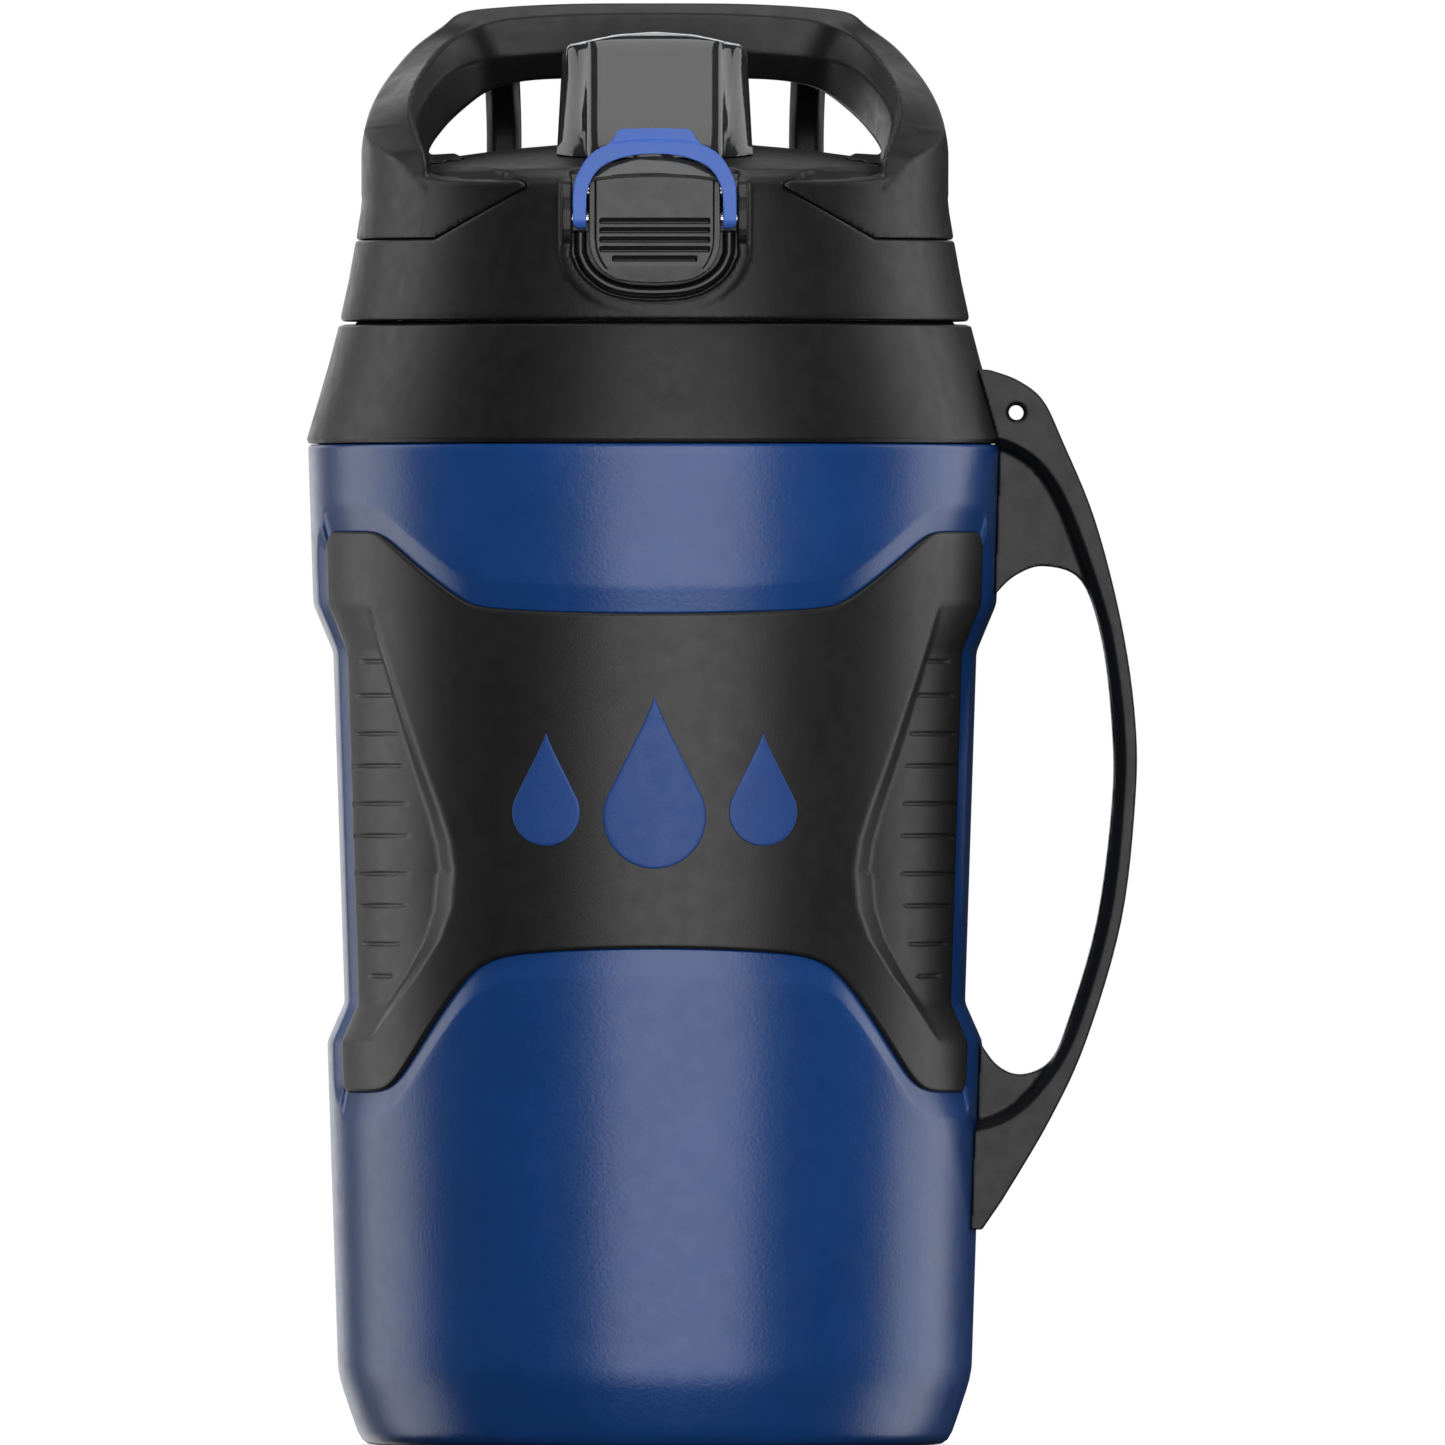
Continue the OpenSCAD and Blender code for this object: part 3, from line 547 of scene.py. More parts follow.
def panel_mesh(name, turn):
    """A soft panel: its face rolls over at the edges and has finger grooves on the scallops."""
    inner = np.linspace(-73.9, 73.9, 185)
    rel = np.concatenate([[-PANEL_EDGE, -74.45, -74.2], inner, [74.2, 74.45, PANEL_EDGE]])
    rel = rel[:len(rel) - (len(rel) - 1) % 4]
    rel[-1], rel[-2], rel[-3] = PANEL_EDGE, 74.45, 74.2
    ease = [0, 0.06, 0.2, 0.45, 0.8, 1.2]
    top, low = panel_top(rel), panel_low(rel)
    rows = [low + d for d in ease]
    count = 377
    for k in range(1, count):
        rows.append(low + 1.2 + (top - low - 2.4) * k / count)
    rows += [top - d for d in reversed(ease)]
    z = np.array(rows)
    phi = np.broadcast_to(rel, z.shape)
    d = np.minimum(np.minimum(z - low, top - z), side_distance(phi))
    roll = 1.0
    t = np.clip(1 - d / roll, 0, 1)
    edge = 0.95 * (1 - np.sqrt(np.maximum(1 - t * t, 0)))
    r = form_r(phi, z) - PANEL_SINK - edge - groove_depth(phi, z)
    outer = polar(phi + turn, r, z)
    step = 4
    nr, nc = z.shape
    ri = list(range(0, nr - 1, step)) + [nr - 1]
    ci = list(range(0, nc - 1, step)) + [nc - 1]
    back = polar(phi + turn, form_r(phi, z) - PANEL_DEPTH + 0.03, z)[np.ix_(ri, ci)]
    vertices = np.concatenate([outer.reshape(-1, 3), back.reshape(-1, 3)])
    start = nr * nc
    faces = grid_faces(nr, nc, False) + grid_faces(len(ri), len(ci), False, start=start)

    def side(fine, coarse):
        return tuple(fine) + tuple(reversed(coarse))

    for i in range(len(ri) - 1):
        for j, cj in ((0, 0), (nc - 1, len(ci) - 1)):
            fine = [k * nc + j for k in range(ri[i], ri[i + 1] + 1)]
            faces.append(side(fine, [start + i * len(ci) + cj, start + (i + 1) * len(ci) + cj]))
    for i in range(len(ci) - 1):
        for j, rj in ((0, 0), (nr - 1, len(ri) - 1)):
            fine = [j * nc + k for k in range(ci[i], ci[i + 1] + 1)]
            faces.append(side(fine, [start + rj * len(ci) + i, start + rj * len(ci) + i + 1]))
    return make_object(name, vertices, faces)


def drop_outline(x, z, h):
    """A water drop standing on its round end."""
    r = 0.3 * h
    points = arc((0, r), r, -205, 25, 36)
    right = spline([(r * 0.906, r * 1.42), (r * 0.62, r * 2.0), (r * 0.2, r * 2.85), (0, h)], 6)
    points += right[1:] + [(-a, b) for a, b in reversed(right[1:-1])]
    return [(x + a, z + b) for a, b in points]


def emblem():
    """Three drops let into the front panel, each a low pillow with rounded edges."""
    vertices, faces = [], []
    for x, z, h in ((0, 128, 38), (-24, 133, 25), (24, 133, 25)):
        outline = np.array(drop_outline(x, z, h))
        middle = np.array([x, z + 0.36 * h])
        start = len(vertices)
        n = len(outline)
        rings = [(1.0, 0.9), (1.0, 0.30), (0.985, 0.18), (0.955, 0.12), (0.9, 0.1), (0.6, 0.1),
                 (0.3, 0.1)]
        for scale, depth in rings:
            for p in middle + (outline - middle) * scale:
                z_here = p[1]
                r = form_r(np.array(0.0), np.array(z_here)) - depth
                phi = math.degrees(math.asin(p[0] / r))
                vertices.append(tuple(polar(np.array(phi), r, np.array(z_here))))
        faces += [tuple(start + i for i in f) for f in grid_faces(len(rings), n, True)]
        faces.append(tuple(start + i for i in range(n)))
        faces.append(tuple(start + (len(rings) - 1) * n + i for i in range(n)))
    ob = make_object("emblem_drops", vertices, faces)
    return finish_piece(ob, EMBLEM, "jug", "emblem_blue", "front_emblem")


# ---------------------------------------------------------------- collar and base

def collar():
    z0, z1 = SHELL_H, COLLAR_HIGH[2]
    profile = rounded([
        (74.4, z0 - 8, 0.3), (73.3, z0 - 8, 0.3), (72.0, z0, 0), (67.2, z1 - 2.8, 0),
        (57.4, z1 - 2.8, 0.3),
        # The ring raised at radius 62.2 to 66.2 is a dark band set under the lid seam. It is a painted
        # shadow that hides the white neck behind the gap.
        (57.4, z1 - 0.4, 0.3), (61.8, z1 - 0.4, 0), (62.2, z1 + 0.38, 0.1), (66.2, z1 + 0.38, 0.1),
        (66.8, z1 - 0.4, 0), (69.1, z1 - 0.2, 0.2), (70.2, z1 - 0.6, 0.5), (72.3, 240.2, 0),
        (74.8, 231.6, 0), (77.28, z0 + 1.25, 0.7), (76.9, z0 + 0.25, 0.3), (74.7, z0 + 0.15, 0)
    ], 0.3)
    ob = lathe("neck_collar_ring", profile, 256)
    return finish_piece(ob, BLACK, "jug", "black_plastic", "neck_collar")


def base():
    profile = rounded([(14.2, 0.9), (22, 0.9), (23.4, 2.2), (50.6, 2.2), (52, 0.9), (59.3, 0.9),
                       (59.3, 3), (61.2, 3), (61.2, 5.9), (14.2, 5.9)], 0.6)
    ob = lathe("base_plate", profile, 160)
    return finish_piece(ob, BLUE, "jug", "blue_shell", "base_cap")


# ---------------------------------------------------------------- lid

def dome_z(r):
    return DECK_TOP - r * r / 590


def dome(start, end, lift=0.0, count=8):
    radii = [start + (end - start) * k / count for k in range(count + 1)]
    return [(r, dome_z(r) + lift) for r in radii]


AXIS = 0.01             # radius at which a turned solid is closed
LOBE_CORNERS = [(27.75, 279), (48.6, LOBE_LOW)]


def lobe_seat(grow=0.0):
    """The lid's form under the carry handle's lobes."""
    return lathe("seat", [(AXIS, 240), (62.7 - grow, 240), (62.7 - grow, 279.6), (60.5, 282.2 - grow)]
                 + dome(58, AXIS, -grow), 192)


def recess_outline(inset, top=295.0):
    w = 18.6
    half = spline([(w, 290), (w, 266), (w - 0.45, 262.6), (w - 2.1, 259.3), (w - 4.9, 256.6),
                   (w - 8.4, 254.7), (w - 13, 253.6), (0, 253.3)], 4)
    line = half + [(-x, z) for x, z in reversed(half[:-1])]
    line = inset_line(line, -inset)
    return [(w - inset, top)] + [p for p in line if p[1] < top - 0.1] + [(inset - w, top)]


def disc_x(x0, x1, y, z, r, segments=40):
    return prism("disc", arc((y, z), r, 0, 360 - 360 / segments, segments - 1), "x", x0, x1)


def lid_shell():
    outer = [(69.1, 249.3), (69.72, 249.75), (69.7, 250.6), (68.0, 258.4), (66.45, 267.0),
             (65.35, 273.6), (64.65, 277.4), (63.9, 279.4), (62.6, 281.2), (60.6, 282.7)]
    inner = [(58, 281)] + [(61.4, 279.4), (61.4, 266), (64.6, 263.4), (67.2, 249.3)]
    ob = lathe("lid_shell_skin", outer + dome(58, AXIS) + dome(AXIS, 50, -2.4) + inner, 224)
    for sign in (1, -1):
        outline = LOBE_CORNERS + [(75, LOBE_LOW), (75, 296), (44, 296), (44, 286.4), (30, 280.6)]
        block = prism("lobe_cut", [(sign * x, z) for x, z in outline], "y", -75, 75)
        cut(ob, "DIFFERENCE", cut(block, "DIFFERENCE", lobe_seat()))
    # The frame round the recess stays within the wall's thickness on its inner side
    raised = [(70.9, 245), (68.55, 258.4), (67.0, 267), (65.9, 273.6), (65.1, 277.4), (64.0, 279.6),
              (62.6, 280.9), (62.3, 279.8), (62.6, 266), (65.6, 263.4), (68.2, 250), (69.1, 245)]
    frame_ring = prism("recess_frame", recess_outline(-2.3), "y", -80, -50)
    cut(ob, "UNION", cut(frame_ring, "INTERSECT", lathe("raised", raised, 192)))
    cut(ob, "DIFFERENCE", prism("recess_cut", recess_outline(0), "y", -80, -57.5))
    for y, r in ((-22.0, 12.1), (-42.0, 1.2)):
        cut(ob, "DIFFERENCE", lathe("hole", [(AXIS, 260), (r, 260), (r, 300), (AXIS, 300)], 64, (0, y)))
    lug = arc((0, HINGE_Z), 3.4, -10, 190, 14)
    lug += [(-5.4, 287.4), (-5.8, 286.2), (5.8, 286.2), (5.4, 287.4)]
    # Cheeks beside the recess, which hold the bail's pins
    cheek = [(-60, 264.4), (-63.2, 264.9), (-65.2, 267.2), (-66.1, 269.6), (-66.1, 273.4),
             (-65.0, 276.4), (-62.6, 279.2), (-58, 281)]
    for low, high in ((14, 18.4), (-18.4, -14)):
        cut(ob, "UNION", prism("lug", lug, "x", low, high))
    for low, high in ((18.2, 20.7), (-20.7, -18.2)):
        cut(ob, "UNION", prism("cheek", cheek, "x", low, high))
    mould(ob, 0.5, 2, 0.4)
    return finish_piece(ob, BLACK, "lid", "black_plastic", "lid_shell")


# The carry handle's sections, from its middle to its foot. Each has four points in front view,
# from the outer edge to the inner one, then how far forward and back it reaches, and how far its
# outer and inner edges are set back from its face.
CARRY_SECTIONS = [
    ((0, 320.3), (0, 318.0), (0, 309.8), (0, 303.7), 24.6, 46.5, 2.6, 3.4),
    ((18, 320.2), (17, 317.7), (16, 309.6), (16, 303.7), 24.6, 46.5, 2.6, 3.4),
    ((33, 319.5), (30, 316.9), (27, 308.9), (26, 303.4), 24.6, 46.8, 2.8, 3.8),
    ((42.8, 318.3), (38, 315.6), (34.5, 308.2), (33, 302.4), 24.0, 47.5, 3.4, 4.5),
    ((47.2, 315.2), (43, 313.6), (39.5, 307.2), (38, 300.4), 20.0, 49.0, 4.6, 6.0),
    ((53.3, 310.6), (47.5, 310.2), (44, 305.6), (42.3, 297.2), 12.0, 51.5, 7.0, 8.0),
    ((58.0, 305.3), (51, 305.8), (47.8, 302.6), (45.6, 294.2), 3.0, 53.0, 9.0, 9.5),
    ((61.2, 300.6), (53.4, 301.3), (50.8, 298.6), (47.8, 291.6), -7.0, 54.5, 12.0, 10.5),
    ((63.5, 295.5), (54.4, 296.0), (52.6, 294.2), (49.4, 289.4), -17.0, 55.0, 14.0, 8.5),
    ((64.8, 290.0), (52.8, 290.4), (51.8, 289.4), (50.4, 287.2), -27.0, 53.0, 14.0, 5.0),
    ((65.4, 284.0), (50.9, 285.6), (50.6, 285.2), (50.2, 284.6), -36.0, 50.0, 12.0, 3.0),
    ((65.4, 277.0), (50.4, 278.5), (50.2, 277.8), (50.0, 276.0), -41.0, 46.0, 10.0, 3.0),
]


def carry_loop():
    half = []
    for outer, upper, lower, inner, front, back, set_outer, set_inner in CARRY_SECTIONS:
        half.append([(*outer, front + set_outer), (*upper, front), (*lower, front),
                     (*inner, front + set_inner), (*inner, back - set_inner * 0.6), (*lower, back),
                     (*upper, back), (*outer, back - set_outer)])
    half = np.array(half, float)
    left = half[1:][::-1].copy()
    left[:, :, 0] *= -1
    line = np.concatenate([left, half]).reshape(len(left) + len(half), -1)
    rows = np.array(spline(line, 5)).reshape(-1, 8, 3)[:, :, [0, 2, 1]]
    n = len(rows)
    faces = grid_faces(n, 8, True) + [tuple(range(8)), tuple(range((n - 1) * 8, n * 8))]
    ob = make_object("carry_loop", rows.reshape(-1, 3), faces, shade=False)
    keep = [(AXIS, 266), (66.2, 266), (66.2, 270), (65.2, 276), (65.1, 330), (AXIS, 330)]
    return cut(ob, "INTERSECT", lathe("keep", keep, 224))


def carry_lobe(sign):
    """One of the plates at the carry handle's feet, let into the lid's side."""
    outline = [(27.95, 279), (48.66, LOBE_LOW + 0.12), (75, LOBE_LOW + 0.12), (75, 295), (44.1, 295),
               (44.1, 286.3), (30.1, 280.5)]
    ob = prism("lobe", [(sign * x, z) for x, z in outline], "y", -75, 75)
    form = [(AXIS, 260), (67.4, 260), (66.42, 267.2), (65.35, 273.6), (65.0, 277), (64.8, 282.4),
            (63.4, 283.9), (59, 285.2), (54, 286.0), (49, 286.4), (44, 286.7), (36, 287.8),
            (30, 288.4), (AXIS, 290)]
    cut(ob, "INTERSECT", lathe("form", form, 224))
    cut(ob, "DIFFERENCE", lobe_seat(0.12))

    def plane(x, y):
        """The upper face, which slopes forward down to the crease."""
        return 283.9 + 0.159 * (61 - x) + 0.237 * (y + 20)

    top = [(x, y, plane(x, y)) for x, y in ((20, -75), (75, -75), (75, 2), (20, 2))]
    sky = [(x, y, 340) for x, y, z in top]
    vertices = [(sign * x, y, z) for x, y, z in top + sky]
    faces = [(0, 1, 2, 3), (7, 6, 5, 4), (0, 4, 5, 1), (1, 5, 6, 2), (2, 6, 7, 3), (3, 7, 4, 0)]
    return cut(ob, "DIFFERENCE", make_object("shave", vertices, faces, shade=False))


def fence_prong(sign):
    path = [(44, 308.6), (47, 309.0)] + arc((50, 289), 20, 90, 0, 14)
    path += [(70, 289 - d) for d in (4, 8, 12, 16, 20, 23, 24.6, 25.4)]
    frames, centres = [], []
    w, t, c = 3.9, 3.5, 1.6      # half width, half thickness, corner
    section = [(-w + c, -t), (w - c, -t), (w, c - t), (w, t - c), (w - c, t), (c - w, t), (-w, t - c),
               (-w, c - t)]
    for i, (y, z) in enumerate(path):
        a, b = path[max(i - 1, 0)], path[min(i + 1, len(path) - 1)]
        dy, dz = b[0] - a[0], b[1] - a[1]
        length = math.hypot(dy, dz)
        bow = 0.7 * math.sin(math.pi * min(max((309 - z) / 40, 0), 1))
        shrink = {len(path) - 1: 0.72, len(path) - 2: 0.93}.get(i, 1.0)
        centres.append((sign * (34.4 - bow), y, z))
        frames.append(((shrink, 0, 0), (0, -dz / length * shrink, dy / length * shrink)))
    return sweep("prong", centres, section, frames)


def join(obs):
    """Joins overlapping solids into one object."""
    bm = bmesh.new()
    for ob in obs:
        bm.from_mesh(ob.data)
    mesh = bpy.data.meshes.new(obs[0].name)
    bm.to_mesh(mesh)
    bm.free()
    for ob in obs[1:]:
        bpy.data.objects.remove(ob)
    obs[0].data = mesh
    return obs[0]


def carry_handle():
    ob = join([carry_loop(), carry_lobe(1), carry_lobe(-1), fence_prong(1), fence_prong(-1)])
    ob.name = "carry_loop"
    mould(ob, 0.55, 3, 0.4)
    return finish_piece(ob, BLACK, "lid", "black_plastic", "carry_handle")


def latch_housing():
    """Floor of the latch recess with the raised rim round the button."""
    ob = prism("latch_tub", recess_outline(0.05, 268.7), "y", -62.2, -61.6)
    line = recess_outline(2.15, 268.75)
    path, frames = [], []
    for i, (x, z) in enumerate(line):
        a, b = line[max(i - 1, 0)], line[min(i + 1, len(line) - 1)]
        length = math.hypot(b[0] - a[0], b[1] - a[1])
        path.append((x, -61.6, z))
        frames.append((((b[1] - a[1]) / length, 0, (a[0] - b[0]) / length), (0, -1, 0)))
    section = [(-1.05, -0.4), (-1.05, 1.7), (-0.85, 2.45), (-0.4, 2.9), (0, 3.0), (0.4, 2.9),
               (0.85, 2.45), (1.05, 1.7), (1.05, -0.4)]
    rim = sweep("rim", path, section, frames)
    parts = [ob, rim]
    shelf = 272.4
    for x0, x1, y0, y1, z0, z1 in ((-18.5, 18.5, -62, -61.55, 268.6, 273.2),
                                   (-18.5, 18.5, -62, -57.5, shelf, 273.2),
                                   (-18.5, 18.5, -58.3, -57.5, shelf, 281.6),
                                   (14.85, 18.5, -62, -57.5, shelf, 280.3),
                                   (-18.5, -14.85, -62, -57.5, shelf, 280.3)):
        parts.append(prism("wall", [(x0, y0), (x1, y0), (x1, y1), (x0, y1)], "z", z0, z1))
    join(parts)
    mould(ob, 0.22, 2, 0.3)
    return finish_piece(ob, BUTTON, "lid", "black_plastic", "latch_housing")


def button_outline(inset, rise=0.0):
    w, low = 14.5 - inset, 257.4 + inset
    half = spline([(w, 272), (w, 268), (w - 0.3, 264.8), (w - 1.7, 261.6), (w - 4.2, 259.2),
                   (w - 7.6, 257.9 + inset * 0.9), (0, low)], 4)
    top = 281.1 - inset + rise
    crown = [(x, top - 1.1 * (x / 14.5) ** 2) for x in np.linspace(-w, w, 13)]
    return half + [(-x, z) for x, z in reversed(half[:-1])] + crown


def latch_button():
    side = [(-67.45, 261.3), (-66.3, 256), (-65.7, 256), (-64.2, 270), (-63.8, 273.4),
            (-61, 273.8), (-61, 281.4), (-64.15, 281.4)]
    ob = prism("button_cap", button_outline(0), "y", -70, -60)
    cut(ob, "INTERSECT", prism("side", side, "x", -15, 15))

    def lean(z):
        """Y of the button's leaning face at a height."""
        return -64.2 - (281 - z) * 0.168

    # A sunk border round the raised face
    ring = prism("ring", button_outline(-1), "y", -75, -60)
    cut(ring, "DIFFERENCE", prism("ring_in", button_outline(1.5, 3), "y", -76, -59))
    front = prism("front", [(lean(255) + 0.5, 255), (lean(282) + 0.5, 282), (-75, 282), (-75, 255)],
                  "x", -20, 20)
    cut(ring, "INTERSECT", front)
    cut(ob, "DIFFERENCE", ring)
    # Five grooves whose floors face down
    for i in range(5):
        low = 270.6 - 2.08 * i
        high = low + 1.3
        half = 12.1 if i < 4 else 9.3
        notch = [(lean(high) - 1, high), (lean(high) + 0.1, high), (lean(low) + 1.05, low),
                 (lean(low) - 1, low)]
        cut(ob, "DIFFERENCE", prism("groove", notch, "x", -half, half))
    mould(ob, 0.17, 1, 0.3)
    for low, high in ((8, 13.5), (-13.5, -8)):
        ear = disc_x(low, high, BUTTON_Y, BUTTON_Z, 2.0)
        join([ob, ear])
    return finish_piece(ob, BUTTON, "latch_button", "button_black", "latch_button")


def lock_bail():
    """The blue U-shaped wire form, with flat faces and a thumb tab."""
    outer = spline([(18.1, 270.4), (18.1, 276), (17.9, 278.6), (17.3, 281.0), (15.0, 285.0),
                    (12.1, 287.3), (8.7, 288.4), (3.5, 289.0), (0, 289.1)], 4)
    inner = spline([(0, 286.0), (3.5, 285.8), (7.5, 285.0), (11, 283.6), (13.3, 281.4), (14.7, 278.4),
                    (15.1, 275), (15.1, 269.2)], 4)
    half = outer + inner + [(17, 269.2)]
    side = arc((BAIL_Y, BAIL_Z), 2.3, 180, 360, 16) + [(-62.9, 286.2), (-62.9, 291.7), (-64.3, 291.7),
                                                      (-65.4, 288)]
    ob = prism("bail", half, "y", -70, -55)
    cut(ob, "UNION", prism("bail_left", mirrored(half), "y", -70, -55))
    cut(ob, "INTERSECT", prism("side", side, "x", -20, 20))
    thumb = spline([(7.4, 291.5), (8.3, 290.9), (9.3, 289.2), (10.6, 287.8), (12.2, 286.9)], 4)
    tab = prism("tab", [(0, 291.72)] + thumb + [(0, 286.4)] + mirrored(thumb), "y", -64.5, -62.95)
    cut(ob, "UNION", tab)
    for low, high in ((14, 19), (-19, -14)):
        cut(ob, "DIFFERENCE", disc_x(low, high, BAIL_Y, BAIL_Z, 1.05))
    mould(ob, 0.18, 2, 0.3)
    ob.name = "bail_loop"
    return finish_piece(ob, BAIL_BLUE, "lock_bail", "bail_blue", "lock_bail")


# ---------------------------------------------------------------- flip cover

def between(x, points):
    return float(np.interp(x, [p[0] for p in points], [p[1] for p in points]))


# The flip cover's outline by height: Y of its front and back, X of its flank and of the facet's edge
COVER_FRONT = [(285.2, -53.4), (288, -52), (310, -34.6), (311.6, -33.0), (312.6, -31), (313.15, -26.5)]
COVER_BACK = [(285.2, 3.1), (293.4, 3.1), (302, -1.6), (309.6, -8.1), (311.6, -12), (313.15, -25.5)]
COVER_SIDE = [(285.2, 21.75), (308.5, 20.5), (309.8, 20.0), (310.5, 19.3),
              (311.5, 15.5), (312.5, 9.8), (313.15, 0.6)]
COVER_WEDGE = [(285.2, 15.3), (309.8, 19.2), (310.5, 18.6), (311.5, 14.8), (312.5, 9.2),
               (313.15, 0.5)]


def cover_ring(z):
    """The cover's outline at height z: a flat front column, a wedge face, a flank and a back."""
    front, back = between(z, COVER_FRONT), between(z, COVER_BACK)
    side, wedge = between(z, COVER_SIDE), between(z, COVER_WEDGE)
    shrink = min(wedge / 15.4, 1)
    depth = back - front
    wy = front + min(6.5 * shrink, depth * 0.4)
    sy = front + min(13 * shrink, depth * 0.62)
    right = [(0, front), (5 * shrink, front), (10.5 * shrink, front + 0.05 * shrink),
             (12.4 * shrink, front + 0.25 * shrink), (13.9 * shrink, front + 0.95 * shrink),
             (14.9 * shrink, front + 2.1 * shrink), (15.4 * shrink, front + 3.6 * shrink)]
    right += [(15.4 * shrink + (wedge - 15.4 * shrink) * t, front + 3.6 * shrink
               + (wy - front - 3.6 * shrink) * t) for t in (0.5, 1)]
    right += [(wedge + (side - wedge) * t, wy + (sy - wy) * (t ** 1.6)) for t in (0.35, 0.7, 1)]
    right += [(side, sy + (back - 2.4 * shrink - sy) * t) for t in (0.33, 0.66, 1)]
    right += [(side - 0.8 * shrink, back - 0.8 * shrink), (side - 2.4 * shrink, back), (0, back)]
    return right + [(-x, y) for x, y in reversed(right[1:-1])]


def flip_cover():
    heights = [285.3, 287, 289, 292, 295, 298, 301, 303.5, 306, 308, 309.2, 309.9, 310.4, 310.8, 311.3,
               311.8, 312.3, 312.7, 313.0, 313.14]
    rows = [[(x, y, z) for x, y in cover_ring(z)] for z in heights]
    n = len(rows[0])
    points = [p for row in rows for p in row]
    faces = grid_faces(len(rows), n, True) + [tuple((len(rows) - 1) * n + i for i in range(n))]
    ob = make_object("cover_shell", points, faces)
    mod = ob.modifiers.new("wall", "SOLIDIFY")
    mod.thickness = 1.7 * MM
    mod.offset = -1
    settle(ob)
    beside_hinge = [(-0.2, 280), (20, 280), (20, 297.2), (-4.2, 297.2), (-4.2, 290)]
    for low, high in ((13.75, 30), (-30, -13.75)):
        cut(ob, "DIFFERENCE", prism("clear", beside_hinge, "x", low, high))
    cut(ob, "DIFFERENCE", prism("clear", [(-30, 0), (30, 0), (30, 20), (-30, 20)], "z", 280, HINGE_Z))
    deck = lathe("deck", [(AXIS, 270), (66, 270), (66, 282.3)] + dome(62, AXIS, 0.35), 160)
    cut(deck, "INTERSECT", prism("deck_end", [(-57.8, 260), (70, 260), (70, 320), (-57.8, 320)], "x",
                                 -40, 40))
    cut(ob, "DIFFERENCE", deck)
    cut(ob, "UNION", disc_x(-13.7, 13.7, 0, HINGE_Z, 3.2, 48))
    crown = spline([(13.6, 280.95), (13.3, 281.8), (11.4, 283.2), (7.6, 284.6), (3.5, 285.3),
                    (0, 285.5)], 4)
    foot = [(x, 281.45 - 0.75 * (x / 13.6) ** 2) for x in np.linspace(-13.2, 13.2, 13)]
    front_lip = prism("lip", crown + [(-x, z) for x, z in reversed(crown[:-1])] + foot, "y",
                      -61.75, -51.8)
    cut(ob, "UNION", front_lip)
    cut(ob, "DIFFERENCE", disc_x(-20, 20, 0, HINGE_Z, 1.55))
    cut(ob, "DIFFERENCE", disc_x(-3.2, 3.2, 0, HINGE_Z, 2.8))
    mod = ob.modifiers.new("edges", "BEVEL")
    mod.width = 0.35 * MM
    mod.segments = 2
    mod.limit_method = "ANGLE"
    mod.angle_limit = math.radians(50)
    settle(ob)
    ob.data.shade_smooth()
    ob.data.set_sharp_from_angle(angle=math.radians(35))
    return finish_piece(ob, SMOKE, "flip_cover", "smoke_cover", "flip_cover")


def cover_highlight_bead():
    """A pale bead along the top edge of the cover's front: a painted highlight for the bright line that
    this edge shows.
    """
    corners = [(z, 4) for z in (313.1, 312.9, 312.5, 312.0, 311.5)]
    corners += [(311.1, 5), (310.9, 6), (310.65, 7), (310.4, 8)]
    half = [(*cover_ring(z)[i], z) for z, i in corners]
    path = spline([(-x, y, z) for x, y, z in reversed(half)] + [(0, between(313.12, COVER_FRONT), 313.12)]
                  + half, 4)
    frames = []
    for i in range(len(path)):
        a, b = path[max(i - 1, 0)], path[min(i + 1, len(path) - 1)]
        length = math.hypot(b[0] - a[0], b[1] - a[1])
        frames.append((((a[1] - b[1]) / length, (b[0] - a[0]) / length, 0), (0, 0, 1)))
    section = [(0.24 * math.cos(a), 0.2 * math.sin(a)) for a in np.linspace(0, 2 * math.pi, 13)[:-1]]
    ob = sweep("cover_highlight_bead", path, section, frames)
    return finish_piece(ob, PAINTED_HIGHLIGHT_RIM, "flip_cover", "smoke_cover")


# ---------------------------------------------------------------- side handle

HANDLE_BACK = [(74.5, 238.5), (80.6, 236.2), (86.1, 231.8), (90.4, 222.9), (97.7, 205.1), (103.6, 182),
               (106.6, 160.7), (106.6, 143), (103.5, 116.3), (95.7, 89.7), (87.5, 71.9), (77, 54.2)]
HANDLE_TOP = [(60, 238.7), (72.1, 238.7)]
HANDLE_FOOT = [(72.6, 47.8), (60, 47.8)]
HAND_GAP = [(71, 182), (75.9, 189.1), (80.5, 193.2), (86.6, 195), (94.6, 191.8), (99.2, 178.5),
            (101.4, 160), (101.5, 143), (98.1, 116.3), (91.7, 94.1), (87.7, 85.2), (81.3, 82.2),
            (75.6, 84.6), (70.6, 92)]


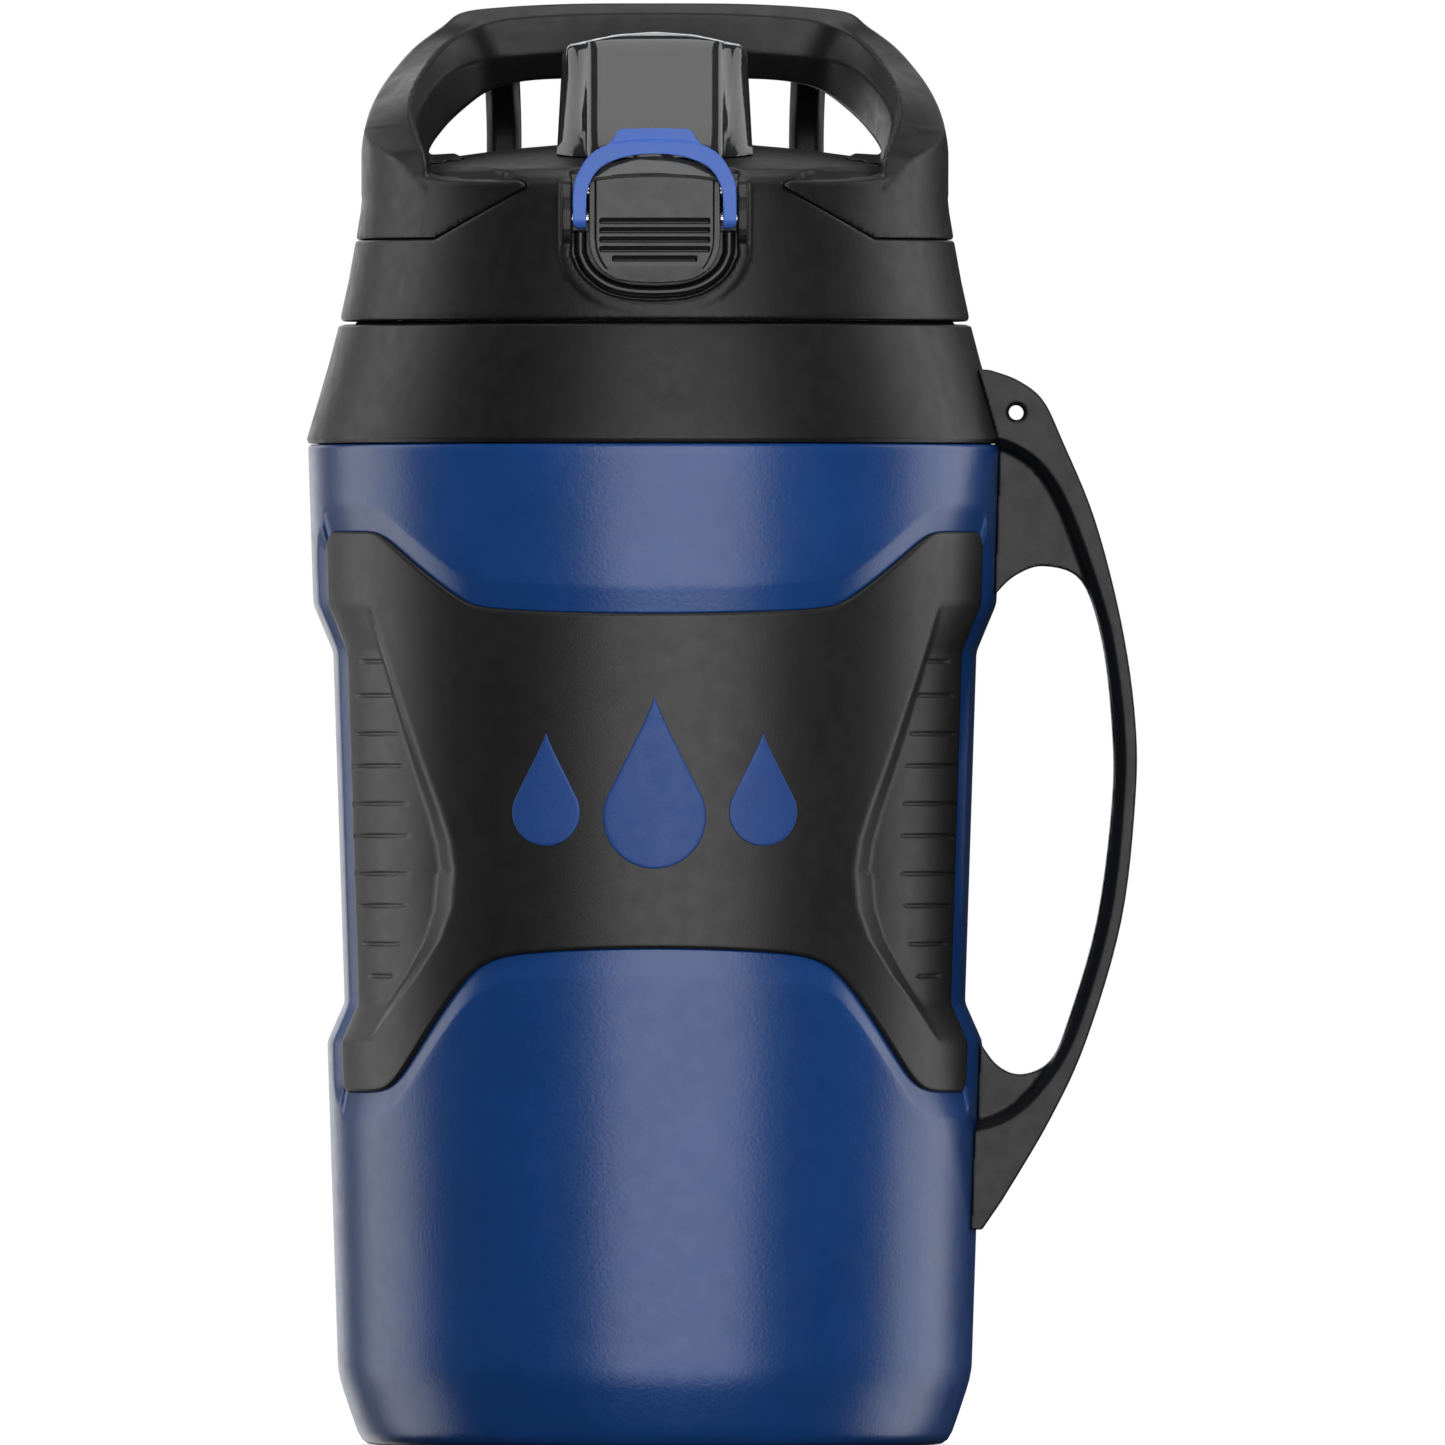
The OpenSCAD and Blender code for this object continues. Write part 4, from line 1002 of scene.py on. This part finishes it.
def side_handle():
    back = spline(HANDLE_BACK, 6)
    gap = spline(HAND_GAP, 5)
    outline = HANDLE_TOP + back + HANDLE_FOOT
    ob = prism("side_handle_body", outline, "y", -14, 14)
    cut(ob, "DIFFERENCE", prism("gap", gap + [(60, 92), (60, 182)], "y", -20, 20))
    # Sunk faces inside the outer edge, from the arched block at the top to the foot
    line = spline([(64, 224.4), (70, 224.2), (75.0, 223.6), (79.9, 222.0), (85.0, 218.6),
                   (89.0, 213.6), (92.2, 207.4), (95.0, 200.2), (97.6, 192.6), (99.5, 186.6)], 5)
    line += [p for p in inset_line(back, -2.7) if 92 < p[1] < 184.5]
    line += spline([(92.9, 90.2), (90.6, 85.4), (87.0, 80.2), (82.6, 75.2), (77.0, 71.4), (70, 69.4),
                    (64, 69)], 5)
    for inset, floor in ((0, 13.3), (0.5, 12.7), (1.0, 12.0), (1.5, 11.2), (2.0, 10.2)):
        web = [(55, 218)] + inset_line(line, -inset) + [(55, 72)]
        for side in (1, -1):
            cut(ob, "DIFFERENCE", prism("web", web, "y", *sorted((side * floor, side * 20))))
    body = [(AXIS, 30)] + [(cone_r(z) + 0.06, z) for z in (30, 88.6)]
    body += [(cone_r(100.6) - 3.94, 100.6), (cone_r(174.7) - 3.94, 174.7)]
    body += [(cone_r(z) + 0.06, z) for z in (186.7, 221.2)] + [
        (76.3, 222.0), (76.3, 222.9), (77.0, 224.1), (74.86, 231.8), (72.26, 240.6), (70.16, 248.4),
        (AXIS, 248.4)]
    cut(ob, "DIFFERENCE", lathe("body", body, 192))
    return ob


def grip_groove(depth, half):
    line = spline(HANDLE_BACK[3:9], 6)
    inner = inset_line(line, -depth)
    outline = inner + [(125, line[-1][1] - 3), (125, 240), (100, 240)]
    return prism("groove", outline, "y", -half, half)


def screw_plate(grow, thick_low, thick_high):
    """The slanted cover over the lower screw."""
    outline = rounded([(-15 - grow, -8 - grow), (15 + grow, -8 - grow), (15 + grow, 8 + grow),
                       (-15 - grow, 8 + grow)], 2.0)
    ob = prism("plate", outline, "z", thick_low, thick_high)
    place = Matrix.Translation(Vector((82.9, 0, 66)) * MM) @ Matrix.Rotation(math.radians(-60.5), 4, "Y")
    ob.data.transform(place)
    return ob


def handle():
    ob = side_handle()
    cut(ob, "DIFFERENCE", grip_groove(1.6, 9.0))
    cut(ob, "DIFFERENCE", screw_plate(0.0, -8, 4))
    hole = prism("lanyard", arc((80.2, 229.1), 1.72, 0, 345, 23), "y", -20, 20)
    cut(ob, "DIFFERENCE", hole)
    for low, high in ((-15, -13.4), (13.4, 15)):
        cut(ob, "DIFFERENCE", prism("sink", arc((80.2, 229.1), 2.25, 0, 345, 23), "y", low, high))
    mould(ob, 0.42, 3, 0.35)
    return finish_piece(ob, BLACK, "jug", "black_plastic", "side_handle")


def handle_grip():
    """The ribbed strip: a row of ridges across the handle's outer face."""
    line = spline(HANDLE_BACK[3:9], 24)
    out, floor = [], inset_line(line, -1.55)
    for i, p in enumerate(line):
        wave = 0.5 - 0.5 * math.cos(2 * math.pi * i / 12)
        edge = min(i, len(line) - 1 - i) / 4
        drop = 0.12 + 0.75 * wave ** 1.5 + 0.6 * max(1 - edge, 0)
        out.append((p[0], p[1], drop))
    normals = [np.array(f) - np.array(p) for p, f in zip(line, floor)]
    widths = [(-8.95, 1.5), (-8.8, 0.9), (-8.3, 0.35), (-7.4, 0.0), (7.4, 0.0), (8.3, 0.35), (8.8, 0.9),
              (8.95, 1.5)]
    vertices = []
    for (x, z, drop), n in zip(out, normals):
        n = n / np.linalg.norm(n)
        for y, sink in widths:
            d = max(drop, min(sink + 0.1, 1.5)) if sink > 0 else drop
            vertices.append((x + n[0] * d, y, z + n[1] * d))
        for y in (8.95, -8.95):
            vertices.append((x + n[0] * 1.55, y, z + n[1] * 1.55))
    cols = len(widths) + 2
    rows = len(line)
    faces = grid_faces(rows, cols, True)
    faces += [tuple(range(cols)), tuple(range((rows - 1) * cols, rows * cols))]
    ob = make_object("handle_ribs", vertices, faces)
    return finish_piece(ob, SOFT, "jug", "soft_grip", "side_handle_grip")


def screw_cover():
    ob = screw_plate(-0.12, -7.9, 2.4)
    outline = HANDLE_TOP + inset_line(spline(HANDLE_BACK, 6), -0.05) + HANDLE_FOOT
    cut(ob, "INTERSECT", prism("outside", outline, "y", -20, 20))
    mould(ob, 0.3, 2, 0.4)
    ob.name = "screw_cover_plate"
    return finish_piece(ob, BLACK, "jug", "black_plastic", "handle_screw_cover")


# ---------------------------------------------------------------- scene set-up

def stage():
    mesh = bpy.data.meshes.new("floor")
    bm = bmesh.new()
    bmesh.ops.create_circle(bm, cap_ends=True, radius=1.1, segments=96)
    bm.to_mesh(mesh)
    bm.free()
    floor = bpy.data.objects.new("floor", mesh)
    bpy.context.scene.collection.objects.link(floor)
    mat, shader = new_material("floor", (0.92, 0.92, 0.92), 0.9)
    shader.inputs["Specular IOR Level"].default_value = 0.0
    shader.inputs["Emission Color"].default_value = (1, 1, 1, 1)
    shader.inputs["Emission Strength"].default_value = 0.6
    mesh.materials.append(mat)
    floor.visible_glossy = False
    floor.visible_diffuse = False


def softbox(name, azimuth, distance, height, width, tall, power):
    """An area light that faces the jug. Azimuth is measured from the front towards +X."""
    data = bpy.data.lights.new(name, "AREA")
    data.shape = "RECTANGLE"
    data.size, data.size_y = width, tall
    data.energy = power
    ob = bpy.data.objects.new(name, data)
    a = math.radians(azimuth)
    ob.location = (distance * math.sin(a), -distance * math.cos(a), height)
    aim = Vector((0, 0, 0.16)) - ob.location
    ob.rotation_euler = aim.to_track_quat("-Z", "Y").to_euler()
    ob.visible_camera = False
    bpy.context.scene.collection.objects.link(ob)
    return ob


def lights():
    softbox("front_box", 8, 1.6, 0.30, 1.60, 2.2, 38)
    softbox("left_box", -109, 1.3, 0.25, 0.85, 2.2, 13)
    softbox("right_box", 110, 1.3, 0.25, 0.85, 2.2, 13)
    softbox("rim_box", -160, 1.8, 0.30, 0.75, 2.0, 7)
    softbox("back_box", 180, 1.9, 1.15, 1.8, 0.8, 5.5)
    softbox("top_box", 0, 0.02, 1.7, 1.3, 1.3, 15)


def world():
    w = bpy.data.worlds.new("studio")
    bpy.context.scene.world = w
    w.use_nodes = True
    nodes, links = w.node_tree.nodes, w.node_tree.links
    back = nodes["Background"]
    back.inputs["Color"].default_value = (1, 1, 1, 1)
    path = nodes.new("ShaderNodeLightPath")
    pick = nodes.new("ShaderNodeMapRange")
    pick.inputs["To Min"].default_value = 0.02
    pick.inputs["To Max"].default_value = 1.0
    links.new(path.outputs["Is Camera Ray"], pick.inputs["Value"])
    links.new(pick.outputs["Result"], back.inputs["Strength"])


def camera():
    """A very long lens, level with the jug's middle, so the seams look flat."""
    data = bpy.data.cameras.new("camera")
    data.sensor_width = 36
    frame_width = (CAD_BOUNDS[1][2] - CAD_BOUNDS[0][2]) * 1.0016
    distance = 14.7
    data.lens = 36 * distance / frame_width
    data.clip_end = 40
    ob = bpy.data.objects.new("camera", data)
    ob.location = (0.0150, -distance, 0.1603)
    ob.rotation_euler = (math.pi / 2, 0, 0)
    bpy.context.scene.collection.objects.link(ob)
    bpy.context.scene.camera = ob
    bpy.context.scene.view_settings.view_transform = "Standard"


NODE_LOOKS = {
    "foam_core": FOAM, "inner_liner": WHITE, "base_cap": BLUE, "foam_fill_plug": BLUE,
    "neck_collar": BLACK, "side_handle": BLACK, "side_handle_grip": SOFT,
    "handle_screw_cover": BLACK, "handle_screws": STEEL, "lid_gasket": SILICONE,
    "lid_shell": BLACK, "lid_liner": WHITE, "lid_foam": FOAM, "carry_handle": BLACK,
    "spout": WHITE, "latch_housing": BLACK, "hinge_pin": STEEL, "cover_spring": STEEL,
    "button_pin": STEEL, "button_spring": STEEL, "bail_pins": STEEL, "flip_cover": SMOKE,
    "spout_seal": SILICONE, "vent_seal": SILICONE, "latch_button": BUTTON,
    "lock_bail": BAIL_BLUE,
}


def dress_cad_nodes():
    for name, material in NODE_LOOKS.items():
        for slot in frame["nodes"][name].material_slots:
            slot.material = material


dress_cad_nodes()
outer_shell()
finish_piece(panel_mesh("grip_front", 0), SOFT, "jug", "soft_grip", "grip_panel_front")
finish_piece(panel_mesh("grip_rear", 180), SOFT, "jug", "soft_grip", "grip_panel_rear")
emblem()
foam_core()
collar()
base()
lid_shell()
carry_handle()
latch_housing()
latch_button()
lock_bail()
flip_cover()
cover_highlight_bead()
handle()
handle_grip()
screw_cover()
stage()
lights()
world()
camera()
